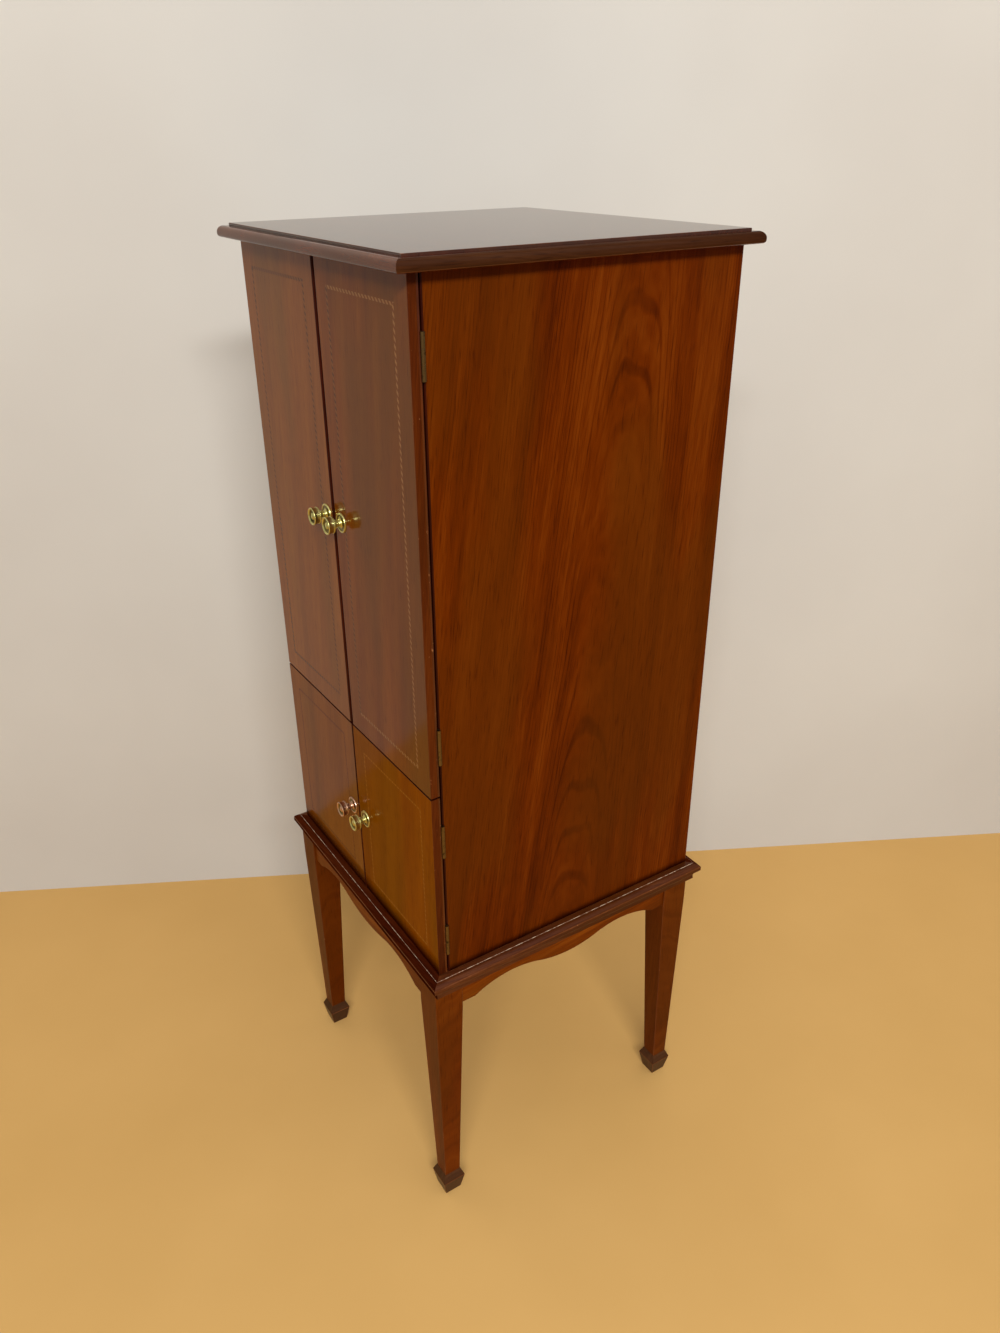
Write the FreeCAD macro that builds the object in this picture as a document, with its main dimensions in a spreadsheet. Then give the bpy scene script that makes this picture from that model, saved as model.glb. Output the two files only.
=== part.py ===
"""A small mahogany cabinet on a stand, with two pairs of doors, in millimetres.

The cabinet stands on the floor at z = 0 with its doors facing -Y. The origin is under the
middle of its outline, which runs from the nose of the top at the front to the nose of the
stand at the back. Every driving size is a cell of the sheet, and each piece is bound to them.
"""
import FreeCAD, Part
import math
import os
import Sketcher

Vector = FreeCAD.Vector

# Driving sizes in millimetres, one cell of the sheet each
SIZES = {
    # Case and stand as a whole
    "stand_height": 354.0,
    "carcass_height": 700.0,
    "carcass_width": 345.0,
    "carcass_depth": 346.0,
    # Boards of the case
    "side_thickness": 12.0,
    "board_thickness": 12.0,
    "shelf_thickness": 9.0,
    "shelf_rise": 226.0,
    "shelf_play": 0.5,
    "housing_depth": 4.0,
    "back_thickness": 7.0,
    "back_rebate": 6.0,
    "rail_height": 18.0,
    "rail_width": 44.0,
    "bearer_height": 12.0,
    "bearer_width": 8.0,
    "bearer_setback": 6.0,
    # Top board with its moulded edge
    "top_thickness": 13.0,
    "top_overhang": 17.0,
    "top_overhang_back": 10.0,
    "top_step": 2.4,
    "top_flat_inset": 9.7,
    "top_ovolo_radius": 6.0,
    "top_arris_radius": 1.5,
    # Doors
    "door_thickness": 10.0,
    "hinge_gap": 2.0,
    "door_split_rise": 225.0,
    "door_split_gap": 2.0,
    "door_top_gap": 2.0,
    "door_foot_gap": 1.5,
    "upper_meeting_gap": 3.0,
    "lower_meeting_gap": 2.0,
    "bead_width": 2.0,
    "quirk_width": 0.4,
    "quirk_depth": 0.5,
    # Inlaid lines of the doors
    "upper_inlay_inset": 22.5,
    "upper_inlay_width": 3.0,
    "lower_inlay_inset": 23.0,
    "lower_inlay_width": 1.8,
    "inlay_depth": 1.2,
    # Knobs and their plates
    "knob_inset": 15.0,
    "knob_drop": 4.0,
    "knob_radius": 8.75,
    "knob_length": 16.5,
    "knob_plate_radius": 10.0,
    "knob_plate_thickness": 1.4,
    "spindle_radius": 2.0,
    "spindle_length": 8.0,
    # Butt hinges
    "hinge_length": 38.0,
    "knuckle_radius": 2.0,
    "knuckle_out": 1.0,
    "knuckle_play": 0.15,
    "knuckle_clearance": 0.3,
    "leaf_width": 11.0,
    "leaf_thickness": 0.9,
    "pin_radius": 0.9,
    "pin_clearance": 0.05,
    "upper_hinge_top_inset": 42.0,
    "upper_hinge_foot_inset": 36.0,
    "lower_hinge_top_inset": 33.0,
    "lower_hinge_foot_inset": 25.5,
    # Hinge screws
    "hinge_screw_radius": 1.0,
    "hinge_screw_head_radius": 1.9,
    "hinge_screw_length": 8.0,
    "hinge_screw_edge": 8.0,
    "hinge_screw_sink": 0.05,
    # Spring catches
    "catch_inset": 22.0,
    "catch_width": 9.0,
    "catch_thickness": 0.8,
    "catch_length": 26.0,
    "catch_setback": 3.0,
    "catch_stop": 2.4,
    "stud_radius": 2.0,
    "stud_length": 12.0,
    "stud_clearance": 0.3,
    # Legs
    "leg_width": 34.0,
    "leg_foot_width": 20.0,
    "leg_outer_taper": 4.5,
    "leg_block_height": 31.0,
    "leg_proud_front": 7.75,
    "leg_proud_side": 2.75,
    "leg_proud_back": 1.0,
    "spigot_radius": 6.0,
    "spigot_length": 18.0,
    # Spade feet
    "foot_height": 33.0,
    "foot_collar_height": 22.5,
    "foot_collar_width": 28.5,
    "foot_floor_width": 20.3,
    # Aprons with their tenons
    "apron_setback": 2.2,
    "apron_thickness": 15.0,
    "front_apron_bracket_depth": 26.0,
    "front_apron_centre_depth": 23.0,
    "front_apron_arch_depth": 13.0,
    "side_apron_bracket_depth": 28.7,
    "side_apron_centre_depth": 28.7,
    "side_apron_arch_depth": 16.0,
    "tenon_length": 12.0,
    "tenon_thickness": 6.0,
    "tenon_height": 18.0,
    "tenon_shoulder": 5.0,
    # Moulded frame of the stand
    "moulding_height": 23.0,
    "moulding_out": 13.5,
    "moulding_in": 30.0,
    "moulding_flat_out": 6.8,
    "moulding_quirk_depth": 1.2,
    "moulding_slope_height": 5.0,
    "moulding_nose_height": 5.0,
    # Glued corner blocks
    "block_width": 22.0,
    "block_height": 24.0,
    # Case and back screws
    "case_screw_radius": 1.75,
    "case_screw_head_radius": 3.5,
    "case_screw_head_depth": 2.5,
    "case_screw_bite": 8.0,
    "case_screw_edge": 60.0,
    "back_screw_radius": 1.25,
    "back_screw_head_radius": 2.5,
    "back_screw_head_depth": 1.5,
    "back_screw_length": 14.0,
    # Radial clearance of every screw, spindle, stud and spigot in its hole
    "fit_clearance": 0.03,
    # Length of a cut past the faces that it opens, and how level a rounded edge has to be
    "overrun": 2.0,
    "level_slack": 0.01,
}

# Shares of a length that the outlines follow
BRACKET_SHARE = 0.12
ARCH_CROWN_SHARE = 0.53
COVE_RADIUS_SHARE = 0.76
SLOPE_RADIUS_SHARE = 0.85
STAND_SCREW_SHARE = 0.7
LEAF_SCREW_SHARES = (0.2, 0.8)
KNUCKLE_SHARES = (0.0, 0.34, 0.66, 1.0)
BACK_SCREW_SHARES = (0.06, 0.36, 0.64, 0.94)

# Outline of the knob: shares of its radius, and of its length from the door face outward
KNOB_OUTLINE_SHARES = (
    (0.48, 0.15),
    (0.28, 0.21),
    (0.28, 0.38),
    (0.40, 0.45),
    (0.28, 0.53),
    (0.42, 0.61),
    (0.76, 0.67),
    (0.79, 0.72),
    (0.80, 0.86),
    (0.98, 0.93),
    (1.00, 0.98),
    (0.92, 1.02),
    (0.80, 0.96),
    (0.58, 0.87),
    (0.40, 0.89),
    (0.24, 0.97),
    (0.00, 1.00),
)

# Outline of the knob's plate: shares of its radius and of its thickness
PLATE_OUTLINE_SHARES = (
    (1.00, 0.00),
    (1.00, 0.50),
    (0.92, 0.70),
    (0.86, 0.45),
    (0.78, 0.45),
    (0.70, 0.90),
    (0.58, 1.00),
)


class Length:
    """A length with its start value and its formula in the sheet."""

    def __init__(self, value, formula):
        self.value = value
        self.formula = formula

    def __add__(self, other):
        return Length(self.value + other.value, f"({self.formula} + {other.formula})")

    def __sub__(self, other):
        return Length(self.value - other.value, f"({self.formula} - {other.formula})")

    def __mul__(self, factor):
        return Length(self.value * factor, f"({self.formula} * {factor})")

    def __truediv__(self, factor):
        return Length(self.value / factor, f"({self.formula} / {factor})")

    def __neg__(self):
        return Length(-self.value, f"(-{self.formula})")


def diagonal(across, along):
    """Return the length of the diagonal of two lengths."""
    formula = f"sqrt({across.formula} * {across.formula} + {along.formula} * {along.formula})"
    return Length(math.hypot(across.value, along.value), formula)


def crown_radius(across, fall):
    """Return the radius of an arc that falls by one length at another length from its crown."""
    formula = (
        f"(({across.formula} * {across.formula} + {fall.formula} * {fall.formula})"
        f" / (2 * {fall.formula}))"
    )
    return Length((across.value ** 2 + fall.value ** 2) / (2 * fall.value), formula)


def scaled(length, part, whole):
    """Return a length times the ratio of two others."""
    return Length(
        length.value * part.value / whole.value,
        f"({length.formula} * {part.formula} / {whole.formula})",
    )


doc = FreeCAD.newDocument("Cabinet")
sheet = doc.addObject("Spreadsheet::Sheet", "Sizes")
size = {}
for row, (name, start) in enumerate(SIZES.items(), start=1):
    sheet.set(f"A{row}", name)
    sheet.set(f"B{row}", str(start))
    sheet.setAlias(f"B{row}", name)
    size[name] = Length(start, f"Sizes.{name}")
doc.recompute()

ZERO = Length(0.0, "0")
overrun = size["overrun"]
fit = size["fit_clearance"]

# Planes that the pieces share
side_face = size["carcass_width"] / 2
leg_side_face = side_face + size["leg_proud_side"]
door_front = (size["top_overhang"] - size["carcass_depth"] - size["moulding_out"]) / 2
door_back = door_front + size["door_thickness"]
case_front = door_back + size["hinge_gap"]
case_back = door_front + size["carcass_depth"]
panel_front = case_back - size["back_thickness"]
leg_front_face = door_front - size["leg_proud_front"]
leg_back_face = case_back + size["leg_proud_back"]
legs_middle = (leg_front_face + leg_back_face) / 2
leg_end_face = (leg_back_face - leg_front_face) / 2
side_inner = side_face - size["side_thickness"]
housing_end = side_inner + size["housing_depth"]
rebate_end = side_inner + size["back_rebate"]
carcass_foot = size["stand_height"]
carcass_top = carcass_foot + size["carcass_height"]
stand_joint = carcass_foot - size["moulding_height"]
split_middle = carcass_foot + size["door_split_rise"]
bottom_top = carcass_foot + size["board_thickness"]
divider_foot = split_middle - size["board_thickness"] / 2
divider_top = divider_foot + size["board_thickness"]
rail_foot = carcass_top - size["rail_height"]
shelf_foot = divider_top + size["shelf_rise"]
case_middle = (door_front + case_back) / 2


def bind(item, name, length):
    """Bind one property of an object to the formula of a length."""
    item.setExpression(name, length.formula)


def place(item, x=ZERO, y=ZERO, z=ZERO):
    """Bind the base of an object's placement to three lengths."""
    bind(item, "Placement.Base.x", x)
    bind(item, "Placement.Base.y", y)
    bind(item, "Placement.Base.z", z)
    return item


def make(kind, label):
    """Add an object of one kind with its label."""
    item = doc.addObject(kind, label)
    item.Label = label
    return item


def box(label, x_ends, y_ends, z_ends):
    """Return a box between two ends along each axis, given in either order."""
    item = make("Part::Box", label)
    corner = []
    for prop, ends in (("Length", x_ends), ("Width", y_ends), ("Height", z_ends)):
        low, high = sorted(ends, key=lambda end: end.value)
        bind(item, prop, high - low)
        corner.append(low)
    return place(item, *corner)


TURNS = {
    "+z": FreeCAD.Rotation(),
    "-z": FreeCAD.Rotation(Vector(1, 0, 0), 180),
    "+y": FreeCAD.Rotation(Vector(1, 0, 0), -90),
    "-y": FreeCAD.Rotation(Vector(1, 0, 0), 90),
    "+x": FreeCAD.Rotation(Vector(0, 1, 0), 90),
    "-x": FreeCAD.Rotation(Vector(0, 1, 0), -90),
}


def cylinder(label, toward, radius, start, length):
    """Return a cylinder from a start point toward one axis direction."""
    item = make("Part::Cylinder", label)
    bind(item, "Radius", radius)
    bind(item, "Height", length)
    item.Placement = FreeCAD.Placement(Vector(), TURNS[toward])
    return place(item, *start)


def cone(label, toward, start_radius, end_radius, start, length):
    """Return a cone from a start point toward one axis direction."""
    item = make("Part::Cone", label)
    bind(item, "Radius1", start_radius)
    bind(item, "Radius2", end_radius)
    bind(item, "Height", length)
    item.Placement = FreeCAD.Placement(Vector(), TURNS[toward])
    return place(item, *start)


def fuse(label, items):
    """Return one solid made of touching shapes."""
    item = make("Part::MultiFuse", label)
    item.Shapes = items
    return item


def cut(label, base, tools):
    """Return a base shape less its tools."""
    item = make("Part::Cut", label)
    item.Base = base
    item.Tool = tools[0] if len(tools) == 1 else group(f"{label}_cuts", tools)
    return item


def common(label, base, tool):
    """Return what two shapes share."""
    item = make("Part::Common", label)
    item.Base = base
    item.Tool = tool
    return item


def group(label, items):
    """Return separate solids kept as one piece of the list."""
    item = make("Part::Compound", label)
    item.Links = items
    return item


def upright_taper(label, foot, head, z_ends):
    """Return a four-sided taper; foot and head each hold the ends along x and y."""
    item = make("Part::Wedge", label)
    foot_x, foot_y = [sorted(ends, key=lambda end: end.value) for ends in foot]
    head_x, head_y = [sorted(ends, key=lambda end: end.value) for ends in head]
    faces = {
        "Xmin": foot_x[0],
        "Xmax": foot_x[1],
        "Zmin": -foot_y[1],
        "Zmax": -foot_y[0],
        "X2min": head_x[0],
        "X2max": head_x[1],
        "Z2min": -head_y[1],
        "Z2max": -head_y[0],
        "Ymin": z_ends[0],
        "Ymax": z_ends[1],
    }
    for prop, length in faces.items():
        setattr(item, prop, length.value)
        bind(item, prop, length)
    item.Placement = FreeCAD.Placement(Vector(), TURNS["-y"])
    return item


def new_body(label):
    """Return an empty body."""
    return make("PartDesign::Body", label)


def origin_plane(body, role):
    """Return one of the origin planes of a body."""
    return [feature for feature in body.Origin.OriginFeatures if feature.Role == role][0]


def outline(body, label, role, points, arcs=None):
    """Draw a closed outline, counter-clockwise, on an origin plane of a body.

    Each point is two lengths. An arc, by the index of the point where it starts, is a radius
    and a side: 1 bulges out of the outline and -1 curves into it.
    """
    arcs = arcs or {}
    sketch = body.newObject("Sketcher::SketchObject", label)
    sketch.AttachmentSupport = [(origin_plane(body, role), "")]
    sketch.MapMode = "FlatFace"
    start_end, stop_end = 1, 2
    spots = [Vector(across.value, up.value, 0) for across, up in points]
    first_ends = []
    last_ends = []
    for index, spot in enumerate(spots):
        following = spots[(index + 1) % len(spots)]
        first_ends.append(start_end)
        last_ends.append(stop_end)
        if index not in arcs:
            sketch.addGeometry(Part.LineSegment(spot, following), False)
            continue
        radius, side = arcs[index]
        chord = following - spot
        middle = (spot + following) * 0.5
        height = math.sqrt(radius.value ** 2 - (chord.Length / 2) ** 2)
        left = Vector(-chord.y, chord.x, 0).normalize()
        centre = middle + left * height * side
        rim_first, rim_last = (spot, following) if side > 0 else (following, spot)
        if side < 0:
            first_ends[-1], last_ends[-1] = stop_end, start_end
        first_angle = math.atan2(rim_first.y - centre.y, rim_first.x - centre.x)
        last_angle = math.atan2(rim_last.y - centre.y, rim_last.x - centre.x)
        circle = Part.Circle(centre, Vector(0, 0, 1), radius.value)
        sketch.addGeometry(Part.ArcOfCircle(circle, first_angle, last_angle), False)
    for index, (across, up) in enumerate(points):
        following = (index + 1) % len(points)
        sketch.addConstraint(
            Sketcher.Constraint("Coincident", index, last_ends[index], following, first_ends[following])
        )
        for kind, length in (("DistanceX", across), ("DistanceY", up)):
            constraint = Sketcher.Constraint(kind, -1, 1, index, first_ends[index], length.value)
            number = sketch.addConstraint(constraint)
            sketch.setExpression(f"Constraints[{number}]", length.formula)
        if index in arcs:
            radius = arcs[index][0]
            number = sketch.addConstraint(Sketcher.Constraint("Radius", index, radius.value))
            sketch.setExpression(f"Constraints[{number}]", radius.formula)
    return sketch


def pad(body, label, sketch, length, reverse=False, middle=False):
    """Pad a sketch of a body by a length."""
    feature = body.newObject("PartDesign::Pad", label)
    feature.Profile = sketch
    bind(feature, "Length", length)
    feature.Reversed = reverse
    feature.Midplane = middle
    doc.recompute()
    return feature


def rectangle(x_ends, y_ends):
    """Return the four points of a rectangle, counter-clockwise."""
    low_x, high_x = x_ends
    low_y, high_y = y_ends
    return [(low_x, low_y), (high_x, low_y), (high_x, high_y), (low_x, high_y)]


def round_edges(body, label, base, height, radius):
    """Round the level edges of a feature at one height."""
    level = height.value
    slack = size["level_slack"].value
    names = []
    for number, edge in enumerate(base.Shape.Edges, start=1):
        limits = edge.BoundBox
        if abs(limits.ZMin - level) < slack and abs(limits.ZMax - level) < slack:
            names.append(f"Edge{number}")
    feature = body.newObject("PartDesign::Fillet", label)
    feature.Base = (base, names)
    bind(feature, "Radius", radius)
    doc.recompute()
    return feature


def turned(label, points):
    """Return a body turned about the Y axis from points of radius and depth."""
    body = new_body(label)
    sketch = outline(body, f"{label}_outline", "XY_Plane", points)
    feature = body.newObject("PartDesign::Revolution", f"{label}_turning")
    feature.Profile = sketch
    feature.ReferenceAxis = (sketch, ["V_Axis"])
    feature.Angle = 360.0
    doc.recompute()
    return body


SIDES = (("left", -1), ("right", 1))
ENDS = (("front", -1), ("back", 1))
nodes = []


def keep(item):
    """List an object as a finished piece."""
    nodes.append(item)
    return item


def case_screw_places():
    """Return the x and y of the four screws in each of the top and the stand."""
    x_place = side_face - size["case_screw_edge"]
    y_front = case_front + size["rail_width"] / 2
    y_back = panel_front - size["rail_width"] / 2
    return [(x_place * sign, y_place) for _, sign in SIDES for y_place in (y_front, y_back)]


def stand_screw_places():
    """Return the x and y of the four screws that hold the case down on the stand."""
    x_place = side_face - size["case_screw_edge"]
    inset = size["moulding_in"] * STAND_SCREW_SHARE
    return [
        (x_place * sign, y_place)
        for _, sign in SIDES
        for y_place in (door_front + inset, case_back - inset)
    ]


def make_top_board():
    """Build the top board with a raised flat inside its moulded edge."""
    body = new_body("top_board")
    nose_x = side_face + size["top_overhang"]
    nose_front = door_front - size["top_overhang"]
    nose_back = case_back + size["top_overhang_back"]
    slab = size["top_thickness"] - size["top_step"]
    inset = size["top_flat_inset"]
    rim = outline(
        body, "top_rim", "XY_Plane", rectangle((-nose_x, nose_x), (nose_front, nose_back))
    )
    feature = pad(body, "top_slab", rim, slab)
    feature = round_edges(body, "top_ovolo", feature, slab, size["top_ovolo_radius"])
    feature = round_edges(body, "top_arris", feature, ZERO, size["top_arris_radius"])
    flat = outline(
        body,
        "top_flat",
        "XY_Plane",
        rectangle((inset - nose_x, nose_x - inset), (nose_front + inset, nose_back - inset)),
    )
    pad(body, "top_raised_flat", flat, size["top_thickness"])
    place(body, z=carcass_top)
    bores = [
        cylinder(
            f"top_bore_{number}", "+z", size["case_screw_radius"] + fit,
            (x_place, y_place, carcass_top - overrun), size["case_screw_bite"] + overrun,
        )
        for number, (x_place, y_place) in enumerate(case_screw_places())
    ]
    body.Label = "top_board_body"
    keep(cut("top_board", body, bores))


def hinge_spans():
    """Return the low and high end of each hinge, with the door row that it serves."""
    upper_low, upper_high = door_heights("upper")
    lower_low, lower_high = door_heights("lower")
    length = size["hinge_length"]
    tops = (
        ("upper", upper_high - size["upper_hinge_top_inset"]),
        ("upper", upper_low + size["upper_hinge_foot_inset"] + length),
        ("lower", lower_high - size["lower_hinge_top_inset"]),
        ("lower", lower_low + size["lower_hinge_foot_inset"] + length),
    )
    return [(row_name, high - length, high) for row_name, high in tops]


def door_heights(row_name):
    """Return the low and high end of a row of doors."""
    half_gap = size["door_split_gap"] / 2
    if row_name == "upper":
        return split_middle + half_gap, carcass_top - size["door_top_gap"]
    return carcass_foot + size["door_foot_gap"], split_middle - half_gap


def hinge_axis(sign):
    """Return the x and y of the hinge axis on one side."""
    x_axis = (side_face + size["knuckle_out"]) * sign
    return x_axis, door_back + size["hinge_gap"] / 2


def knuckle_room(label, sign, low, high):
    """Return the round cut that clears the knuckles of a hinge."""
    x_axis, y_axis = hinge_axis(sign)
    play = size["knuckle_play"]
    radius = size["knuckle_radius"] + size["knuckle_clearance"]
    return cylinder(label, "+z", radius, (x_axis, y_axis, low - play), high - low + play + play)


def leaf_face(on_door):
    """Return the direction of a leaf's screws, its turn along y and the y of their heads."""
    sunk_face = size["leaf_thickness"] - size["hinge_screw_sink"]
    if on_door:
        return "-y", -1, door_back + sunk_face
    return "+y", 1, case_front - sunk_face


def leaf_screw_places(sign, low):
    """Return the x and z of the screws of one leaf."""
    x_place = (side_face - size["hinge_screw_edge"]) * sign
    return [(x_place, low + size["hinge_length"] * share) for share in LEAF_SCREW_SHARES]


def leaf_screw_heads(label, sign, low, on_door, clearance=ZERO):
    """Return the countersunk heads of one leaf's screws, or their holes with a clearance."""
    toward, _, head_face = leaf_face(on_door)
    return [
        cone(
            f"{label}_head_{number}", toward, size["hinge_screw_head_radius"] + clearance,
            size["hinge_screw_radius"] + clearance, (x_place, head_face, height),
            size["leaf_thickness"] - size["hinge_screw_sink"],
        )
        for number, (x_place, height) in enumerate(leaf_screw_places(sign, low))
    ]


def leaf_screw_sinks(label, sign, low, on_door):
    """Return the shallow round cuts over the heads of one leaf's screws."""
    toward, turn, head_face = leaf_face(on_door)
    radius = size["hinge_screw_head_radius"] + size["fit_clearance"]
    return [
        cylinder(
            f"{label}_sink_{number}", toward, radius,
            (x_place, head_face - overrun * turn, height), overrun,
        )
        for number, (x_place, height) in enumerate(leaf_screw_places(sign, low))
    ]


def leaf_screw_shanks(label, sign, low, on_door, clearance=ZERO):
    """Return the shanks of one leaf's screws, or their bores with a clearance."""
    toward, turn, head_face = leaf_face(on_door)
    depth = size["leaf_thickness"] - size["hinge_screw_sink"]
    return [
        cylinder(
            f"{label}_shank_{number}", toward, size["hinge_screw_radius"] + clearance,
            (x_place, head_face + depth * turn, height), size["hinge_screw_length"] - depth,
        )
        for number, (x_place, height) in enumerate(leaf_screw_places(sign, low))
    ]


def make_side_panels():
    """Build the two sides with their housings, rebates and hinge cuts."""
    for side_name, sign in SIDES:
        label = f"side_panel_{side_name}"
        board = box(
            f"{label}_board",
            (side_inner * sign, side_face * sign),
            (case_front, case_back),
            (carcass_foot, carcass_top),
        )
        beyond = side_inner - overrun
        cuts = [
            box(
                f"{label}_rebate",
                (beyond * sign, rebate_end * sign),
                (panel_front, case_back + overrun),
                (carcass_foot - overrun, carcass_top + overrun),
            ),
        ]
        for board_name, low, high in (
            ("bottom", carcass_foot - overrun, bottom_top),
            ("divider", divider_foot, divider_top),
        ):
            cuts.append(
                box(
                    f"{label}_{board_name}_housing",
                    (beyond * sign, housing_end * sign),
                    (case_front - overrun, panel_front + overrun),
                    (low, high),
                )
            )
        for number, (_, low, high) in enumerate(hinge_spans()):
            cuts.append(knuckle_room(f"{label}_knuckle_{number}", sign, low, high))
            cuts.extend(leaf_screw_shanks(f"{label}_bore_{number}", sign, low, False, fit))
        for number, (x_place, height) in enumerate(back_screw_places()):
            if x_place.value * sign > 0:
                cuts.append(
                    cylinder(
                        f"{label}_back_bore_{number}", "-y", size["back_screw_radius"] + fit,
                        (x_place, case_back + overrun, height),
                        size["back_screw_length"] + overrun,
                    )
                )
        keep(cut(label, board, cuts))


def back_screw_places():
    """Return the x and z of the screws that hold the back panel in its rebates."""
    x_place = side_inner + size["back_rebate"] / 2
    places = []
    for _, sign in SIDES:
        for share in BACK_SCREW_SHARES:
            places.append((x_place * sign, carcass_foot + size["carcass_height"] * share))
    return places


def make_back():
    """Build the back panel and the screws that hold it."""
    board = box(
        "back_panel_board",
        (-rebate_end, rebate_end),
        (panel_front, case_back),
        (carcass_foot, carcass_top),
    )
    bores = []
    screws = []
    head_depth = size["back_screw_head_depth"]
    for number, (x_place, height) in enumerate(back_screw_places()):
        head_radius = size["back_screw_head_radius"]
        bores.append(
            cylinder(
                f"back_bore_{number}", "-y", size["back_screw_radius"] + fit,
                (x_place, case_back + overrun, height), size["back_thickness"] + overrun + overrun,
            )
        )
        bores.append(
            cone(
                f"back_sink_{number}", "-y", head_radius + fit,
                size["back_screw_radius"] + fit, (x_place, case_back, height), head_depth,
            )
        )
        head = cone(
            f"back_screw_head_{number}", "-y", head_radius, size["back_screw_radius"],
            (x_place, case_back, height), head_depth,
        )
        shank = cylinder(
            f"back_screw_shank_{number}", "-y", size["back_screw_radius"],
            (x_place, case_back - head_depth, height), size["back_screw_length"] - head_depth,
        )
        screws.append(fuse(f"back_screw_{number}", [head, shank]))
    keep(cut("back_panel", board, bores))
    keep(group("back_panel_screws", screws))


def make_case_boards():
    """Build the bottom, the divider, the shelf with its bearers and the top rails."""
    across = (-housing_end, housing_end)
    between = (-side_inner, side_inner)
    depth = (case_front, panel_front)
    bottom = box("bottom_board_blank", across, depth, (carcass_foot, bottom_top))
    bores = []
    for number, (x_place, y_place) in enumerate(stand_screw_places()):
        bores.append(
            cylinder(
                f"bottom_bore_{number}", "+z", size["case_screw_radius"] + fit,
                (x_place, y_place, carcass_foot - overrun), size["board_thickness"] + overrun + overrun,
            )
        )
        bores.append(
            cone(
                f"bottom_sink_{number}", "-z", size["case_screw_head_radius"] + fit,
                size["case_screw_radius"] + fit, (x_place, y_place, bottom_top),
                size["case_screw_head_depth"],
            )
        )
    keep(cut("bottom_board", bottom, bores))
    keep(box("divider_board", across, depth, (divider_foot, divider_top)))
    play = size["shelf_play"]
    keep(
        box(
            "upper_shelf",
            (play - side_inner, side_inner - play),
            (case_front + size["bearer_setback"], panel_front - play),
            (shelf_foot, shelf_foot + size["shelf_thickness"]),
        )
    )
    bearers = [
        box(
            f"shelf_bearer_{side_name}",
            ((side_inner - size["bearer_width"]) * sign, side_inner * sign),
            (case_front + size["bearer_setback"], panel_front),
            (shelf_foot - size["bearer_height"], shelf_foot),
        )
        for side_name, sign in SIDES
    ]
    keep(group("shelf_bearers", bearers))
    rails = []
    rail_width = size["rail_width"]
    rail_depths = {
        "front": (case_front, case_front + rail_width),
        "back": (panel_front - rail_width, panel_front),
    }
    for end_name, y_ends in rail_depths.items():
        rail = box(f"top_rail_{end_name}_blank", between, y_ends, (rail_foot, carcass_top))
        bores = []
        for number, (x_place, y_place) in enumerate(case_screw_places()):
            if y_ends[0].value < y_place.value < y_ends[1].value:
                bores.append(
                    cylinder(
                        f"{end_name}_rail_bore_{number}", "+z", size["case_screw_radius"] + fit,
                        (x_place, y_place, rail_foot - overrun),
                        size["rail_height"] + overrun + overrun,
                    )
                )
                bores.append(
                    cone(
                        f"{end_name}_rail_sink_{number}", "+z",
                        size["case_screw_head_radius"] + fit,
                        size["case_screw_radius"] + fit, (x_place, y_place, rail_foot),
                        size["case_screw_head_depth"],
                    )
                )
        rails.append(cut(f"top_rail_{end_name}", rail, bores))
    keep(group("top_rails", rails))


def case_screw(label, toward, start, length):
    """Return a countersunk wood screw from its head face toward its tip."""
    x_place, y_place, height = start
    head_depth = size["case_screw_head_depth"]
    turn = 1 if toward == "+z" else -1
    head = cone(
        f"{label}_head", toward, size["case_screw_head_radius"], size["case_screw_radius"],
        start, head_depth,
    )
    shank = cylinder(
        f"{label}_shank", toward, size["case_screw_radius"],
        (x_place, y_place, height + head_depth * turn), length - head_depth,
    )
    return fuse(label, [head, shank])


def make_case_screws():
    """Build the screws that hold the top on its rails and the case on the stand."""
    bite = size["case_screw_bite"]
    screws = []
    for number, (x_place, y_place) in enumerate(case_screw_places()):
        start = (x_place, y_place, rail_foot)
        screws.append(case_screw(f"top_screw_{number}", "+z", start, size["rail_height"] + bite))
    for number, (x_place, y_place) in enumerate(stand_screw_places()):
        start = (x_place, y_place, bottom_top)
        screws.append(
            case_screw(f"stand_screw_{number}", "-z", start, size["board_thickness"] + bite)
        )
    keep(group("case_screws", screws))


def corner_x(sign, offset):
    """Return x at an offset inward from the outer leg face of a side."""
    return (leg_side_face - offset) * sign


def corner_y(sign, offset):
    """Return y at an offset inward from the outer leg face of an end."""
    return legs_middle + (leg_end_face - offset) * sign


def tenon_offsets():
    """Return the two offsets from the leg face between which a tenon lies."""
    middle = size["apron_setback"] + size["apron_thickness"] / 2
    half = size["tenon_thickness"] / 2
    return middle - half, middle + half


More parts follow.
